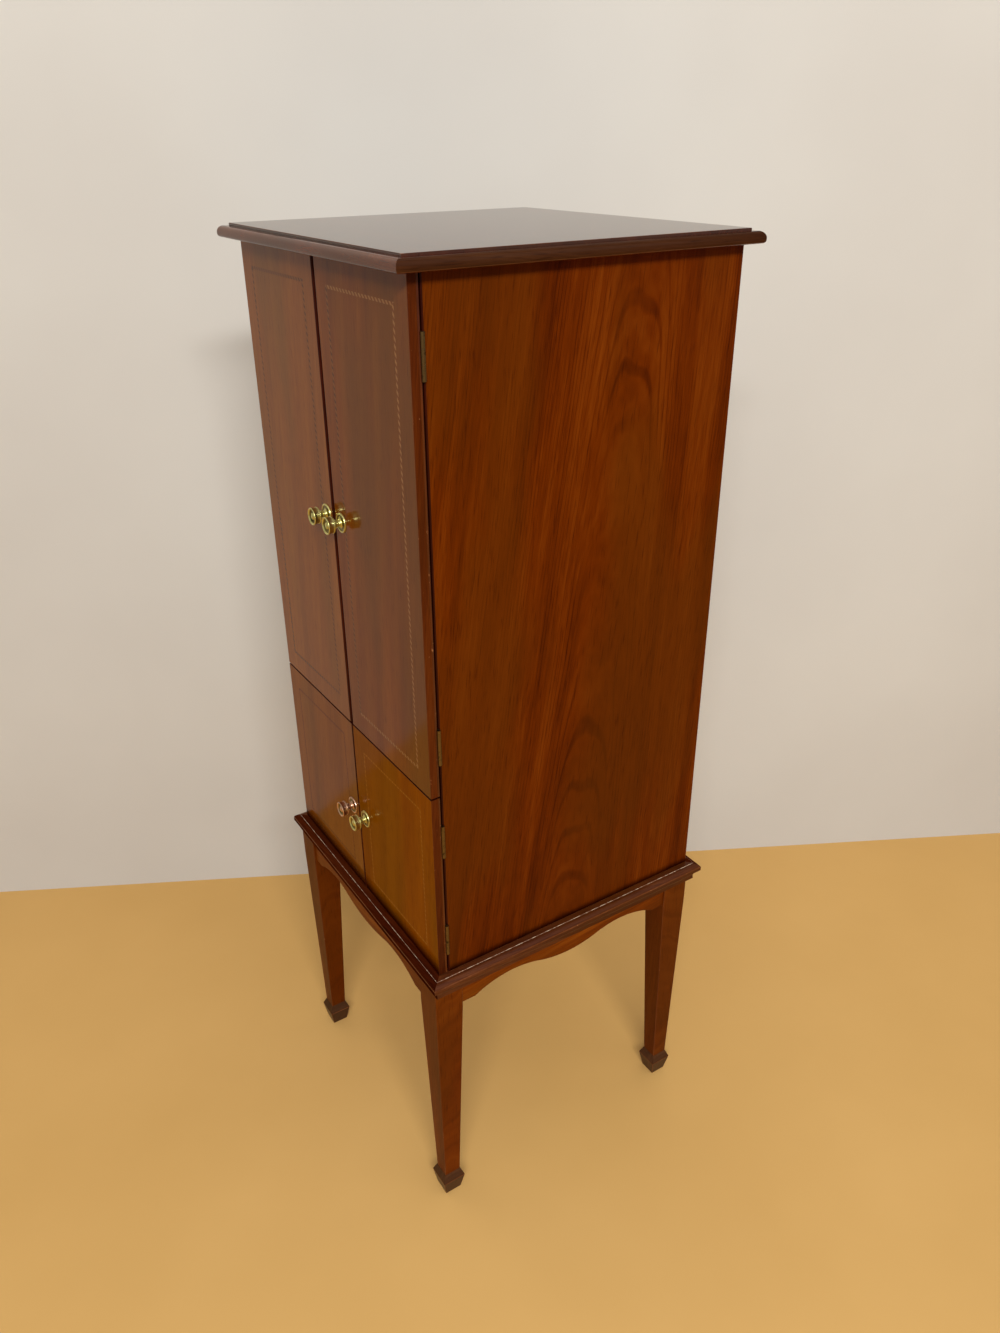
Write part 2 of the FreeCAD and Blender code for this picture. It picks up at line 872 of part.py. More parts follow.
def make_legs():
    """Build the four tapered legs with their mortises and spigots."""
    width = size["leg_width"]
    foot_width = size["leg_foot_width"]
    taper = size["leg_outer_taper"]
    block_foot = stand_joint - size["leg_block_height"]
    near, far = tenon_offsets()
    tenon_top = stand_joint - size["tenon_shoulder"]
    tenon_foot = tenon_top - size["tenon_height"]
    reach = width - size["tenon_length"]
    for end_name, end_sign in ENDS:
        for side_name, side_sign in SIDES:
            label = f"leg_{end_name}_{side_name}"
            head = (
                (corner_x(side_sign, ZERO), corner_x(side_sign, width)),
                (corner_y(end_sign, ZERO), corner_y(end_sign, width)),
            )
            foot = (
                (corner_x(side_sign, taper), corner_x(side_sign, taper + foot_width)),
                (corner_y(end_sign, taper), corner_y(end_sign, taper + foot_width)),
            )
            centre = taper + foot_width / 2
            block = box(f"{label}_block", head[0], head[1], (block_foot, stand_joint))
            shaft = upright_taper(f"{label}_taper", foot, head, (size["foot_height"], block_foot))
            spigot = cylinder(
                f"{label}_spigot", "+z", size["spigot_radius"],
                (
                    corner_x(side_sign, centre),
                    corner_y(end_sign, centre),
                    size["foot_height"] - size["spigot_length"],
                ),
                size["spigot_length"],
            )
            mortises = [
                box(
                    f"{label}_end_mortise",
                    (corner_x(side_sign, reach), corner_x(side_sign, width + overrun)),
                    (corner_y(end_sign, near), corner_y(end_sign, far)),
                    (tenon_foot, tenon_top),
                ),
                box(
                    f"{label}_side_mortise",
                    (corner_x(side_sign, near), corner_x(side_sign, far)),
                    (corner_y(end_sign, reach), corner_y(end_sign, width + overrun)),
                    (tenon_foot, tenon_top),
                ),
            ]
            solid = fuse(f"{label}_solid", [block, shaft, spigot])
            keep(cut(label, solid, mortises))


def make_feet():
    """Build the four spade feet with the bores that take the legs' spigots."""
    centre = size["leg_outer_taper"] + size["leg_foot_width"] / 2
    for end_name, end_sign in ENDS:
        for side_name, side_sign in SIDES:
            label = f"spade_foot_{end_name}_{side_name}"

            def square(width):
                half = width / 2
                return (
                    (corner_x(side_sign, centre - half), corner_x(side_sign, centre + half)),
                    (corner_y(end_sign, centre - half), corner_y(end_sign, centre + half)),
                )

            collar_height = size["foot_collar_height"]
            collar = square(size["foot_collar_width"])
            lower = upright_taper(
                f"{label}_lower", square(size["foot_floor_width"]), collar, (ZERO, collar_height)
            )
            upper = upright_taper(
                f"{label}_upper", collar, square(size["leg_foot_width"]),
                (collar_height, size["foot_height"]),
            )
            bore = cylinder(
                f"{label}_bore", "+z", size["spigot_radius"] + fit,
                (
                    corner_x(side_sign, centre),
                    corner_y(end_sign, centre),
                    size["foot_height"] - size["spigot_length"],
                ),
                size["spigot_length"] + overrun,
            )
            keep(cut(label, fuse(f"{label}_solid", [lower, upper]), [bore]))


def apron_outline(half_span, row_name):
    """Return the points and arcs of an apron's face, from the middle of its span.

    Two arches run without a corner into the swell at the middle, and end at the brackets.
    """
    bracket = half_span - half_span * BRACKET_SHARE
    crown = half_span * ARCH_CROWN_SHARE
    bracket_depth = size[f"{row_name}_apron_bracket_depth"]
    arch_depth = size[f"{row_name}_apron_arch_depth"]
    bracket_foot = stand_joint - bracket_depth
    fall = size[f"{row_name}_apron_centre_depth"] - arch_depth
    arch = crown_radius(bracket - crown, bracket_depth - arch_depth)
    both = crown_radius(crown, fall)
    swell = both - arch
    join = scaled(crown, swell, both)
    join_foot = stand_joint - arch_depth - scaled(fall, arch, both)
    points = [
        (-half_span, bracket_foot),
        (-bracket, bracket_foot),
        (-join, join_foot),
        (join, join_foot),
        (bracket, bracket_foot),
        (half_span, bracket_foot),
        (half_span, stand_joint),
        (-half_span, stand_joint),
    ]
    return points, {1: (arch, -1), 2: (swell, 1), 3: (arch, -1)}


def make_aprons():
    """Build the four shaped aprons with a tenon at each end."""
    near, far = tenon_offsets()
    tenon_top = stand_joint - size["tenon_shoulder"]
    tenon_foot = tenon_top - size["tenon_height"]
    reach = size["leg_width"] - size["tenon_length"]
    thickness = size["apron_thickness"]
    setback = size["apron_setback"]
    heights = (tenon_foot, tenon_top)
    for end_name, end_sign in ENDS:
        label = f"apron_{end_name}"
        half_span = leg_side_face - size["leg_width"]
        points, arcs = apron_outline(half_span, "front")
        body = new_body(f"{label}_board")
        sketch = outline(body, f"{label}_outline", "XZ_Plane", points, arcs)
        pad(body, f"{label}_pad", sketch, thickness, reverse=end_sign < 0)
        place(body, y=corner_y(end_sign, setback))
        tenons = [
            box(
                f"{label}_tenon_{side_name}",
                (corner_x(side_sign, reach), corner_x(side_sign, size["leg_width"] + overrun)),
                (corner_y(end_sign, near), corner_y(end_sign, far)),
                heights,
            )
            for side_name, side_sign in SIDES
        ]
        keep(fuse(label, [body] + tenons))
    for side_name, side_sign in SIDES:
        label = f"apron_{side_name}"
        half_span = leg_end_face - size["leg_width"]
        points, arcs = apron_outline(half_span, "side")
        body = new_body(f"{label}_board")
        sketch = outline(body, f"{label}_outline", "YZ_Plane", points, arcs)
        pad(body, f"{label}_pad", sketch, thickness, reverse=side_sign > 0)
        place(body, x=corner_x(side_sign, setback), y=legs_middle)
        tenons = [
            box(
                f"{label}_tenon_{end_name}",
                (corner_x(side_sign, near), corner_x(side_sign, far)),
                (corner_y(end_sign, reach), corner_y(end_sign, size["leg_width"] + overrun)),
                heights,
            )
            for end_name, end_sign in ENDS
        ]
        keep(fuse(label, [body] + tenons))


def make_corner_blocks():
    """Build the four blocks glued inside the corners of the stand."""
    blocks = []
    wall = size["apron_setback"] + size["apron_thickness"]
    start = size["leg_width"]
    for end_name, end_sign in ENDS:
        for side_name, side_sign in SIDES:
            blocks.append(
                box(
                    f"corner_block_{end_name}_{side_name}",
                    (
                        corner_x(side_sign, start),
                        corner_x(side_sign, start + size["block_width"]),
                    ),
                    (
                        corner_y(end_sign, wall),
                        corner_y(end_sign, wall + size["block_width"]),
                    ),
                    (stand_joint - size["block_height"], stand_joint),
                )
            )
    keep(group("corner_blocks", blocks))


def moulding_outline(face, sign):
    """Return the points and arcs of the stand's moulding, out from a case face."""
    out = size["moulding_out"]
    flat_out = size["moulding_flat_out"]
    cove_out = size["leg_proud_front"]
    slope_foot = carcass_foot - size["moulding_slope_height"]
    nose_foot = slope_foot - size["moulding_nose_height"]
    cove = diagonal(out - cove_out, nose_foot - stand_joint) * COVE_RADIUS_SHARE
    quirk_foot = carcass_foot - size["moulding_quirk_depth"]
    slope = diagonal(out - flat_out, quirk_foot - slope_foot) * SLOPE_RADIUS_SHARE
    inner = face - size["moulding_in"]
    points = [
        (inner, stand_joint),
        (face + cove_out, stand_joint),
        (face + out, nose_foot),
        (face + out, slope_foot),
        (face + flat_out, quirk_foot),
        (face + flat_out, carcass_foot),
        (inner, carcass_foot),
    ]
    if sign > 0:
        return points, {1: (cove, -1), 3: (slope, 1)}
    mirrored = [(-across, up) for across, up in reversed(points)]
    return mirrored, {4: (cove, -1), 2: (slope, 1)}


def mitre_prism(label, turn, widths, depths):
    """Return a prism between two widths, with the narrow end at the first depth."""
    item = make("Part::Wedge", label)
    (narrow_low, narrow_high), (wide_low, wide_high) = widths
    faces = {
        "Xmin": narrow_low,
        "Xmax": narrow_high,
        "X2min": wide_low,
        "X2max": wide_high,
        "Ymin": depths[0],
        "Ymax": depths[1],
        "Zmin": stand_joint,
        "Zmax": carcass_foot,
        "Z2min": stand_joint,
        "Z2max": carcass_foot,
    }
    for prop, length in faces.items():
        setattr(item, prop, length.value)
        bind(item, prop, length)
    item.Placement = FreeCAD.Placement(Vector(), FreeCAD.Rotation(Vector(0, 0, 1), turn))
    return item


def make_stand_mouldings():
    """Build the four mitred strips that frame the top of the stand."""
    out = size["moulding_out"]
    inward = size["moulding_in"]
    bores = {"front": [], "back": []}
    for number, (x_place, y_place) in enumerate(stand_screw_places()):
        end_name = "front" if y_place.value < 0 else "back"
        bores[end_name].append(
            cylinder(
                f"moulding_bore_{number}", "-z", size["case_screw_radius"] + fit,
                (x_place, y_place, carcass_foot + overrun), size["case_screw_bite"] + overrun,
            )
        )
    half_width = side_face + out
    half_narrow = side_face - inward
    # Turned about z, local +y is the outward direction of each strip
    end_faces = {"front": -door_front, "back": case_back}
    for end_name, sign in ENDS:
        label = f"stand_moulding_{end_name}"
        face = end_faces[end_name]
        points, arcs = moulding_outline(face, sign)
        body = new_body(f"{label}_strip")
        sketch = outline(body, f"{label}_outline", "YZ_Plane", points, arcs)
        pad(body, f"{label}_pad", sketch, half_width * 2, middle=True)
        prism = mitre_prism(
            f"{label}_mitres",
            0 if sign > 0 else 180,
            ((-half_narrow, half_narrow), (-half_width, half_width)),
            (face - inward, face + out),
        )
        strip = common(f"{label}_mitred", body, prism)
        keep(cut(label, strip, bores[end_name]))
    for side_name, sign in SIDES:
        label = f"stand_moulding_{side_name}"
        points, arcs = moulding_outline(side_face, sign)
        body = new_body(f"{label}_strip")
        sketch = outline(body, f"{label}_outline", "XZ_Plane", points, arcs)
        pad(body, f"{label}_pad", sketch, size["carcass_depth"] + out * 2, middle=True)
        place(body, y=case_middle)
        low, high = (door_front, case_back) if sign < 0 else (-case_back, -door_front)
        prism = mitre_prism(
            f"{label}_mitres",
            90 if sign < 0 else -90,
            ((low + inward, high - inward), (low - out, high + out)),
            (side_face - inward, side_face + out),
        )
        keep(common(label, body, prism))


def knuckle_heights(low):
    """Return the heights where the three knuckles of a hinge begin and end."""
    return [low + size["hinge_length"] * share for share in KNUCKLE_SHARES]


def hinge_leaf(label, sign, low, on_door):
    """Return one leaf of a hinge with its knuckles and screw holes."""
    x_axis, y_axis = hinge_axis(sign)
    heights = knuckle_heights(low)
    play = size["knuckle_play"]
    if on_door:
        y_ends = (door_back, door_back + size["leaf_thickness"])
        spans = [(heights[1] + play, heights[2] - play)]
    else:
        y_ends = (case_front - size["leaf_thickness"], case_front)
        spans = [(heights[0], heights[1]), (heights[2], heights[3])]
    room = side_face + size["knuckle_out"] - size["knuckle_radius"] - size["knuckle_clearance"]
    leaf_end = side_face + size["knuckle_out"] - size["leaf_width"]
    shapes = [
        box(
            f"{label}_plate", (leaf_end * sign, room * sign), y_ends,
            (low, low + size["hinge_length"]),
        )
    ]
    for number, (knuckle_low, knuckle_high) in enumerate(spans):
        shapes.append(
            box(
                f"{label}_tongue_{number}", ((room - overrun) * sign, x_axis), y_ends,
                (knuckle_low, knuckle_high),
            )
        )
        shapes.append(
            cylinder(
                f"{label}_knuckle_{number}", "+z", size["knuckle_radius"],
                (x_axis, y_axis, knuckle_low), knuckle_high - knuckle_low,
            )
        )
    cuts = [
        cylinder(
            f"{label}_pin_bore", "+z", size["pin_radius"] + size["pin_clearance"],
            (x_axis, y_axis, low - overrun), size["hinge_length"] + overrun * 2,
        )
    ]
    cuts.extend(leaf_screw_heads(f"{label}_hole", sign, low, on_door, fit))
    cuts.extend(leaf_screw_sinks(f"{label}_hole", sign, low, on_door))
    cuts.extend(leaf_screw_shanks(f"{label}_hole", sign, low, on_door, fit))
    return cut(label, fuse(f"{label}_solid", shapes), cuts)


def leaf_screws(label, sign, low, on_door):
    """Return the screws of one leaf."""
    heads = leaf_screw_heads(label, sign, low, on_door)
    shanks = leaf_screw_shanks(label, sign, low, on_door)
    return [
        fuse(f"{label}_{number}", [head, shank])
        for number, (head, shank) in enumerate(zip(heads, shanks))
    ]


def make_case_hinges():
    """Build the fixed leaves of the hinges with their pins and screws."""
    leaves = []
    pins = []
    screws = []
    for side_name, sign in SIDES:
        x_axis, y_axis = hinge_axis(sign)
        for number, (_, low, _) in enumerate(hinge_spans()):
            label = f"case_leaf_{side_name}_{number}"
            leaves.append(hinge_leaf(label, sign, low, on_door=False))
            screws.extend(leaf_screws(f"case_screw_{side_name}_{number}", sign, low, on_door=False))
            pins.append(
                cylinder(
                    f"pin_{side_name}_{number}", "+z", size["pin_radius"],
                    (x_axis, y_axis, low), size["hinge_length"],
                )
            )
    keep(group("hinge_case_leaves", leaves))
    keep(group("hinge_pins", pins))
    keep(group("hinge_case_screws", screws))


CATCH_CEILINGS = {"upper": rail_foot, "lower": divider_foot}


def make_catch_springs():
    """Build the sprung strips that hold the doors shut."""
    springs = []
    thickness = size["catch_thickness"]
    for row_name, ceiling in CATCH_CEILINGS.items():
        for side_name, sign in SIDES:
            label = f"catch_spring_{row_name}_{side_name}"
            half = size["catch_width"] / 2
            x_ends = ((size["catch_inset"] - half) * sign, (size["catch_inset"] + half) * sign)
            strip_start = case_front + size["catch_setback"]
            stop_start = door_back + size["stud_length"] + size["stud_clearance"]
            strip = box(
                f"{label}_strip", x_ends,
                (strip_start, strip_start + size["catch_length"]),
                (ceiling - thickness, ceiling),
            )
            stop = box(
                f"{label}_stop", x_ends,
                (stop_start, stop_start + thickness),
                (ceiling - thickness - size["catch_stop"], ceiling - thickness / 2),
            )
            springs.append(fuse(label, [strip, stop]))
    keep(group("catch_springs", springs))


def inlay_ring(label, x_ends, z_ends, inset, width, grow):
    """Return the rectangular ring of an inlaid line, from the door face inward."""
    (x_low, x_high), (z_low, z_high) = x_ends, z_ends
    inner = inset + width
    depth = (door_front - grow, door_front + size["inlay_depth"])
    outer_box = box(
        f"{label}_outer", (x_low + inset, x_high - inset), depth, (z_low + inset, z_high - inset)
    )
    inner_box = box(
        f"{label}_inner",
        (x_low + inner, x_high - inner),
        (door_front - overrun * 2, door_front + size["inlay_depth"] + overrun),
        (z_low + inner, z_high - inner),
    )
    return cut(label, outer_box, [inner_box])


def make_knob(label, x_place, height):
    """Build one turned knob with the spindle that goes into the door."""
    plate = size["knob_plate_thickness"]
    neck = size["knob_radius"] * KNOB_OUTLINE_SHARES[0][0]
    points = [
        (ZERO, size["spindle_length"]),
        (ZERO, -(size["knob_length"] * KNOB_OUTLINE_SHARES[-1][1])),
    ]
    for radius_share, length_share in reversed(KNOB_OUTLINE_SHARES[:-1]):
        points.append((size["knob_radius"] * radius_share, -(size["knob_length"] * length_share)))
    points.extend(
        [
            (neck, -plate),
            (size["spindle_radius"], -plate),
            (size["spindle_radius"], size["spindle_length"]),
        ]
    )
    body = turned(label, points)
    keep(place(body, x_place, door_front, height))


def make_plate(label, x_place, height):
    """Build the round plate behind a knob."""
    bore = size["spindle_radius"] + fit
    points = [(bore, ZERO), (bore, -size["knob_plate_thickness"])]
    for radius_share, thickness_share in reversed(PLATE_OUTLINE_SHARES[1:]):
        points.append(
            (
                size["knob_plate_radius"] * radius_share,
                -(size["knob_plate_thickness"] * thickness_share),
            )
        )
    points.append((size["knob_plate_radius"], ZERO))
    body = turned(label, points)
    keep(place(body, x_place, door_front, height))


def make_door(row_name, side_name, sign):
    """Build one door with its inlay, knob, hinge leaves and catch stud."""
    prefix = f"{row_name}_{side_name}"
    low, high = door_heights(row_name)
    meeting = size[f"{row_name}_meeting_gap"] / 2
    x_ends = (meeting, side_face) if sign > 0 else (-side_face, -meeting)
    knob_x = (meeting + size["knob_inset"]) * sign
    knob_z = (low + high) / 2 - size["knob_drop"]
    board = box(f"{prefix}_door_blank", x_ends, (door_front, door_back), (low, high))
    inset = size[f"{row_name}_inlay_inset"]
    width = size[f"{row_name}_inlay_width"]
    groove = inlay_ring(f"{prefix}_groove", x_ends, (low, high), inset, width, overrun)
    bead_foot = door_back - size["bead_width"]
    quirk = box(
        f"{prefix}_quirk",
        ((side_face - size["quirk_depth"]) * sign, (side_face + overrun) * sign),
        (bead_foot - size["quirk_width"], bead_foot),
        (low - overrun, high + overrun),
    )
    spindle_bore = cylinder(
        f"{prefix}_spindle_bore", "+y", size["spindle_radius"] + fit,
        (knob_x, door_front - overrun, knob_z), size["spindle_length"] + overrun,
    )
    cuts = [groove, quirk, spindle_bore]
    leaves = []
    screws = []
    for number, (hinge_row, hinge_low, hinge_high) in enumerate(hinge_spans()):
        if hinge_row != row_name:
            continue
        cuts.append(knuckle_room(f"{prefix}_knuckle_{number}", sign, hinge_low, hinge_high))
        cuts.extend(leaf_screw_shanks(f"{prefix}_bore_{number}", sign, hinge_low, True, fit))
        leaves.append(hinge_leaf(f"{prefix}_leaf_{number}", sign, hinge_low, on_door=True))
        screws.extend(leaf_screws(f"{prefix}_screw_{number}", sign, hinge_low, on_door=True))
    stud_z = (
        CATCH_CEILINGS[row_name] - size["catch_thickness"] - size["stud_clearance"]
        - size["stud_radius"]
    )
    stud_start = size["stud_length"] / 2
    stud_x = size["catch_inset"] * sign
    cuts.append(
        cylinder(
            f"{prefix}_stud_bore", "+y", size["stud_radius"] + fit,
            (stud_x, door_back - stud_start, stud_z), stud_start + overrun,
        )
    )
    keep(cut(f"{prefix}_door_panel", board, cuts))
    keep(inlay_ring(f"{prefix}_string_inlay", x_ends, (low, high), inset, width, ZERO))
    make_knob(f"{prefix}_knob", knob_x, knob_z)
    make_plate(f"{prefix}_knob_plate", knob_x, knob_z)
    keep(group(f"{prefix}_hinge_door_leaves", leaves))
    keep(group(f"{prefix}_hinge_door_screws", screws))
    keep(
        cylinder(
            f"{prefix}_catch_stud", "+y", size["stud_radius"],
            (stud_x, door_back - stud_start, stud_z), size["stud_length"] + stud_start,
        )
    )


def write_parts():
    """Check each piece and write it to its own file."""
    doc.recompute()
    for item in doc.Objects:
        if "Invalid" in item.State or "Error" in item.State:
            raise RuntimeError(f"{item.Label} did not build: {item.State}")
    os.makedirs("parts", exist_ok=True)
    for item in nodes:
        if item.Shape.isNull() or not item.Shape.isValid():
            raise RuntimeError(f"{item.Label} has no valid shape")
        item.Shape.exportStep(f"parts/{item.Label}.step")
    print(f"{len(nodes)} pieces written")


make_top_board()
make_side_panels()
make_back()
make_case_boards()
make_case_screws()
make_legs()
make_feet()
make_aprons()
make_corner_blocks()
make_stand_mouldings()
make_case_hinges()
make_catch_springs()
for row_name in CATCH_CEILINGS:
    for side_name, sign in SIDES:
        make_door(row_name, side_name, sign)
write_parts()
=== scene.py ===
"""Looks of a small mahogany cabinet on a stand, with two pairs of doors.

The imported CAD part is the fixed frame, and every size below is in millimetres in that frame:
the floor is z = 0, the doors face -Y and the origin is under the middle of the outline. Each
sub-assembly is a class that shapes its pieces with bmesh operators and dresses them.
"""
import logging
import math
from collections.abc import Callable, Iterable, Sequence
from dataclasses import dataclass
from enum import Enum
from functools import cache, partial

import bmesh
import bpy
from mathutils import Euler, Matrix, Vector


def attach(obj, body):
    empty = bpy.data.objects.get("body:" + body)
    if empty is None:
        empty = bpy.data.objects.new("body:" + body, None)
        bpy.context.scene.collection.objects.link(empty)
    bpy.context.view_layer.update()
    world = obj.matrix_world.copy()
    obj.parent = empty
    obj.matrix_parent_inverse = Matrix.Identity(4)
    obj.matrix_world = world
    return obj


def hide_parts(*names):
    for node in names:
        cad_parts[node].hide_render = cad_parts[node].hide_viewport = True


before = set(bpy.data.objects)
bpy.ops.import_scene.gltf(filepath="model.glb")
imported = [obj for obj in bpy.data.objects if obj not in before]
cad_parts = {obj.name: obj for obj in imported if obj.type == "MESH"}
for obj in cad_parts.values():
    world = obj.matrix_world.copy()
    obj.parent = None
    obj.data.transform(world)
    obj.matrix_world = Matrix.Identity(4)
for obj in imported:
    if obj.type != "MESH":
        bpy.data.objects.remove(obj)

log = logging.getLogger("cabinet")

Point = tuple[float, float, float]
Span = tuple[float, float]
MM = 0.001
# Places closer than this, in metres, count as the same
TOUCH = 1e-6
# Slack in millimetres when faces and edges are picked by their place
SLACK = 0.01
# Distance in millimetres from an end that still counts as at it
NEAR = 1.0
# Least share of a normal along an axis for a face that looks along it
FACING = 0.9
# A face this many times as large as its neighbour is a broad one
BROAD = 10.0


class Axis(Enum):
    """Axis of the frame that a grain follows."""

    X = 0
    Y = 1
    Z = 2


class Side(Enum):
    """Side of the cabinet, with the sign of its x."""

    LEFT = -1
    RIGHT = 1


class End(Enum):
    """Front or back of the cabinet, with the sign of its y."""

    FRONT = -1
    BACK = 1


class Row(Enum):
    """Row of doors, named as its CAD nodes are."""

    UPPER = "upper"
    LOWER = "lower"


# ---- materials

Tree = bpy.types.NodeTree
Socket = bpy.types.NodeSocket
Material = bpy.types.Material

# Settings that several nodes share
SMOOTH = {"interpolation_type": "SMOOTHSTEP"}
MULTIPLY = {"operation": "MULTIPLY"}
MULTIPLY_ADD = {"operation": "MULTIPLY_ADD"}
# Slow patterns are stretched four times along the grain, pores twenty times
SLOW_STRETCH = (1, 1, 0.25)
PORE_STRETCH = (1, 1, 0.05)
# Width in millimetres, share of the tone and detail: broad bands, rings and fibres
RING_BANDS = ((22.0, 0.5, 1.0), (5.0, 0.27, 2.0), (1.4, 0.22, 1.0))
LATE_WOOD_PERIOD = 3.4
DRIFT_PATCH = 90.0
WEAR_PATCH = 7.0
TARNISH_PATCH = 4.0
VENEER_PATCH = 9.0
PORE_TINT = "#9a8074"
# Painted shade over the foot of the case where it meets the moulding: its tint, and the height
# where it is darkest
FOOT_SHADE_TINT = "#56200e"
FOOT_SHADE_LOW = 355.0


def linear(colour: str) -> tuple[float, float, float, float]:
    """Turn an sRGB hex colour to linear RGBA.

    Args:
        colour: six hex digits after a #.

    Returns:
        The linear colour with an alpha of 1.
    """
    parts = [int(colour[start : start + 2], 16) / 255 for start in (1, 3, 5)]
    red, green, blue = (
        part / 12.92 if part <= 0.04045 else ((part + 0.055) / 1.055) ** 2.4 for part in parts
    )
    return red, green, blue, 1.0


def add_node(
    tree: Tree, kind: str, settings: dict[str, object] | None = None,
    inputs: dict[int | str, object] | None = None,
) -> bpy.types.Node:
    """Add a node with its settings, and set or link its inputs.

    Args:
        tree: node tree that gets the node.
        kind: name of the node's type.
        settings: the node's own properties by name.
        inputs: value or output socket for each input, by name or number.

    Returns:
        The new node.
    """
    node = tree.nodes.new(kind)
    for name, value in (settings or {}).items():
        setattr(node, name, value)
    for key, value in (inputs or {}).items():
        if isinstance(value, Socket):
            tree.links.new(value, node.inputs[key])
        else:
            node.inputs[key].default_value = value
    return node


def add_ramp(tree: Tree, factor: Socket, stops: Sequence[tuple[float, str]]) -> Socket:
    """Colour a factor by stops.

    Args:
        tree: node tree that gets the ramp.
        factor: socket that drives the ramp.
        stops: place and hex colour of each stop, in order.

    Returns:
        The colour output of the ramp.
    """
    ramp = add_node(tree, "ShaderNodeValToRGB", inputs={"Fac": factor})
    elements = ramp.color_ramp.elements
    while len(elements) < len(stops):
        elements.new(0.5)
    for element, (place, colour) in zip(elements, stops):
        element.position = place
        element.color = linear(colour)
    return ramp.outputs["Color"]


def new_material(name: str, **sockets: object) -> tuple[Material, bpy.types.Node]:
    """Make an empty material with one principled shader.

    Args:
        name: name of the material.
        sockets: constant values of the shader, by socket name with _ for each space.

    Returns:
        The material and its shader node.
    """
    material = bpy.data.materials.new(name)
    material.use_nodes = True
    tree = material.node_tree
    tree.nodes.clear()
    values = {key.replace("_", " "): value for key, value in sockets.items()}
    shader = add_node(tree, "ShaderNodeBsdfPrincipled", inputs=values)
    add_node(tree, "ShaderNodeOutputMaterial", inputs={"Surface": shader.outputs["BSDF"]})
    return material, shader


@dataclass(frozen=True)
class Figure:
    """Where a board was sawn from its log, which draws its grain.

    The pith line is given across the board, in its depth and at one height along it. A cut
    close to it gives nested arches, and a pith line far outside gives straight grain.
    """

    pith_across: float = 420.0
    pith_depth: float = 60.0
    arch_start: float = 0.0
    lean: float = 0.0
    taper: float = 0.1
    wander: float = 4.0
    shift: float = 0.0
    lines: float = 0.08


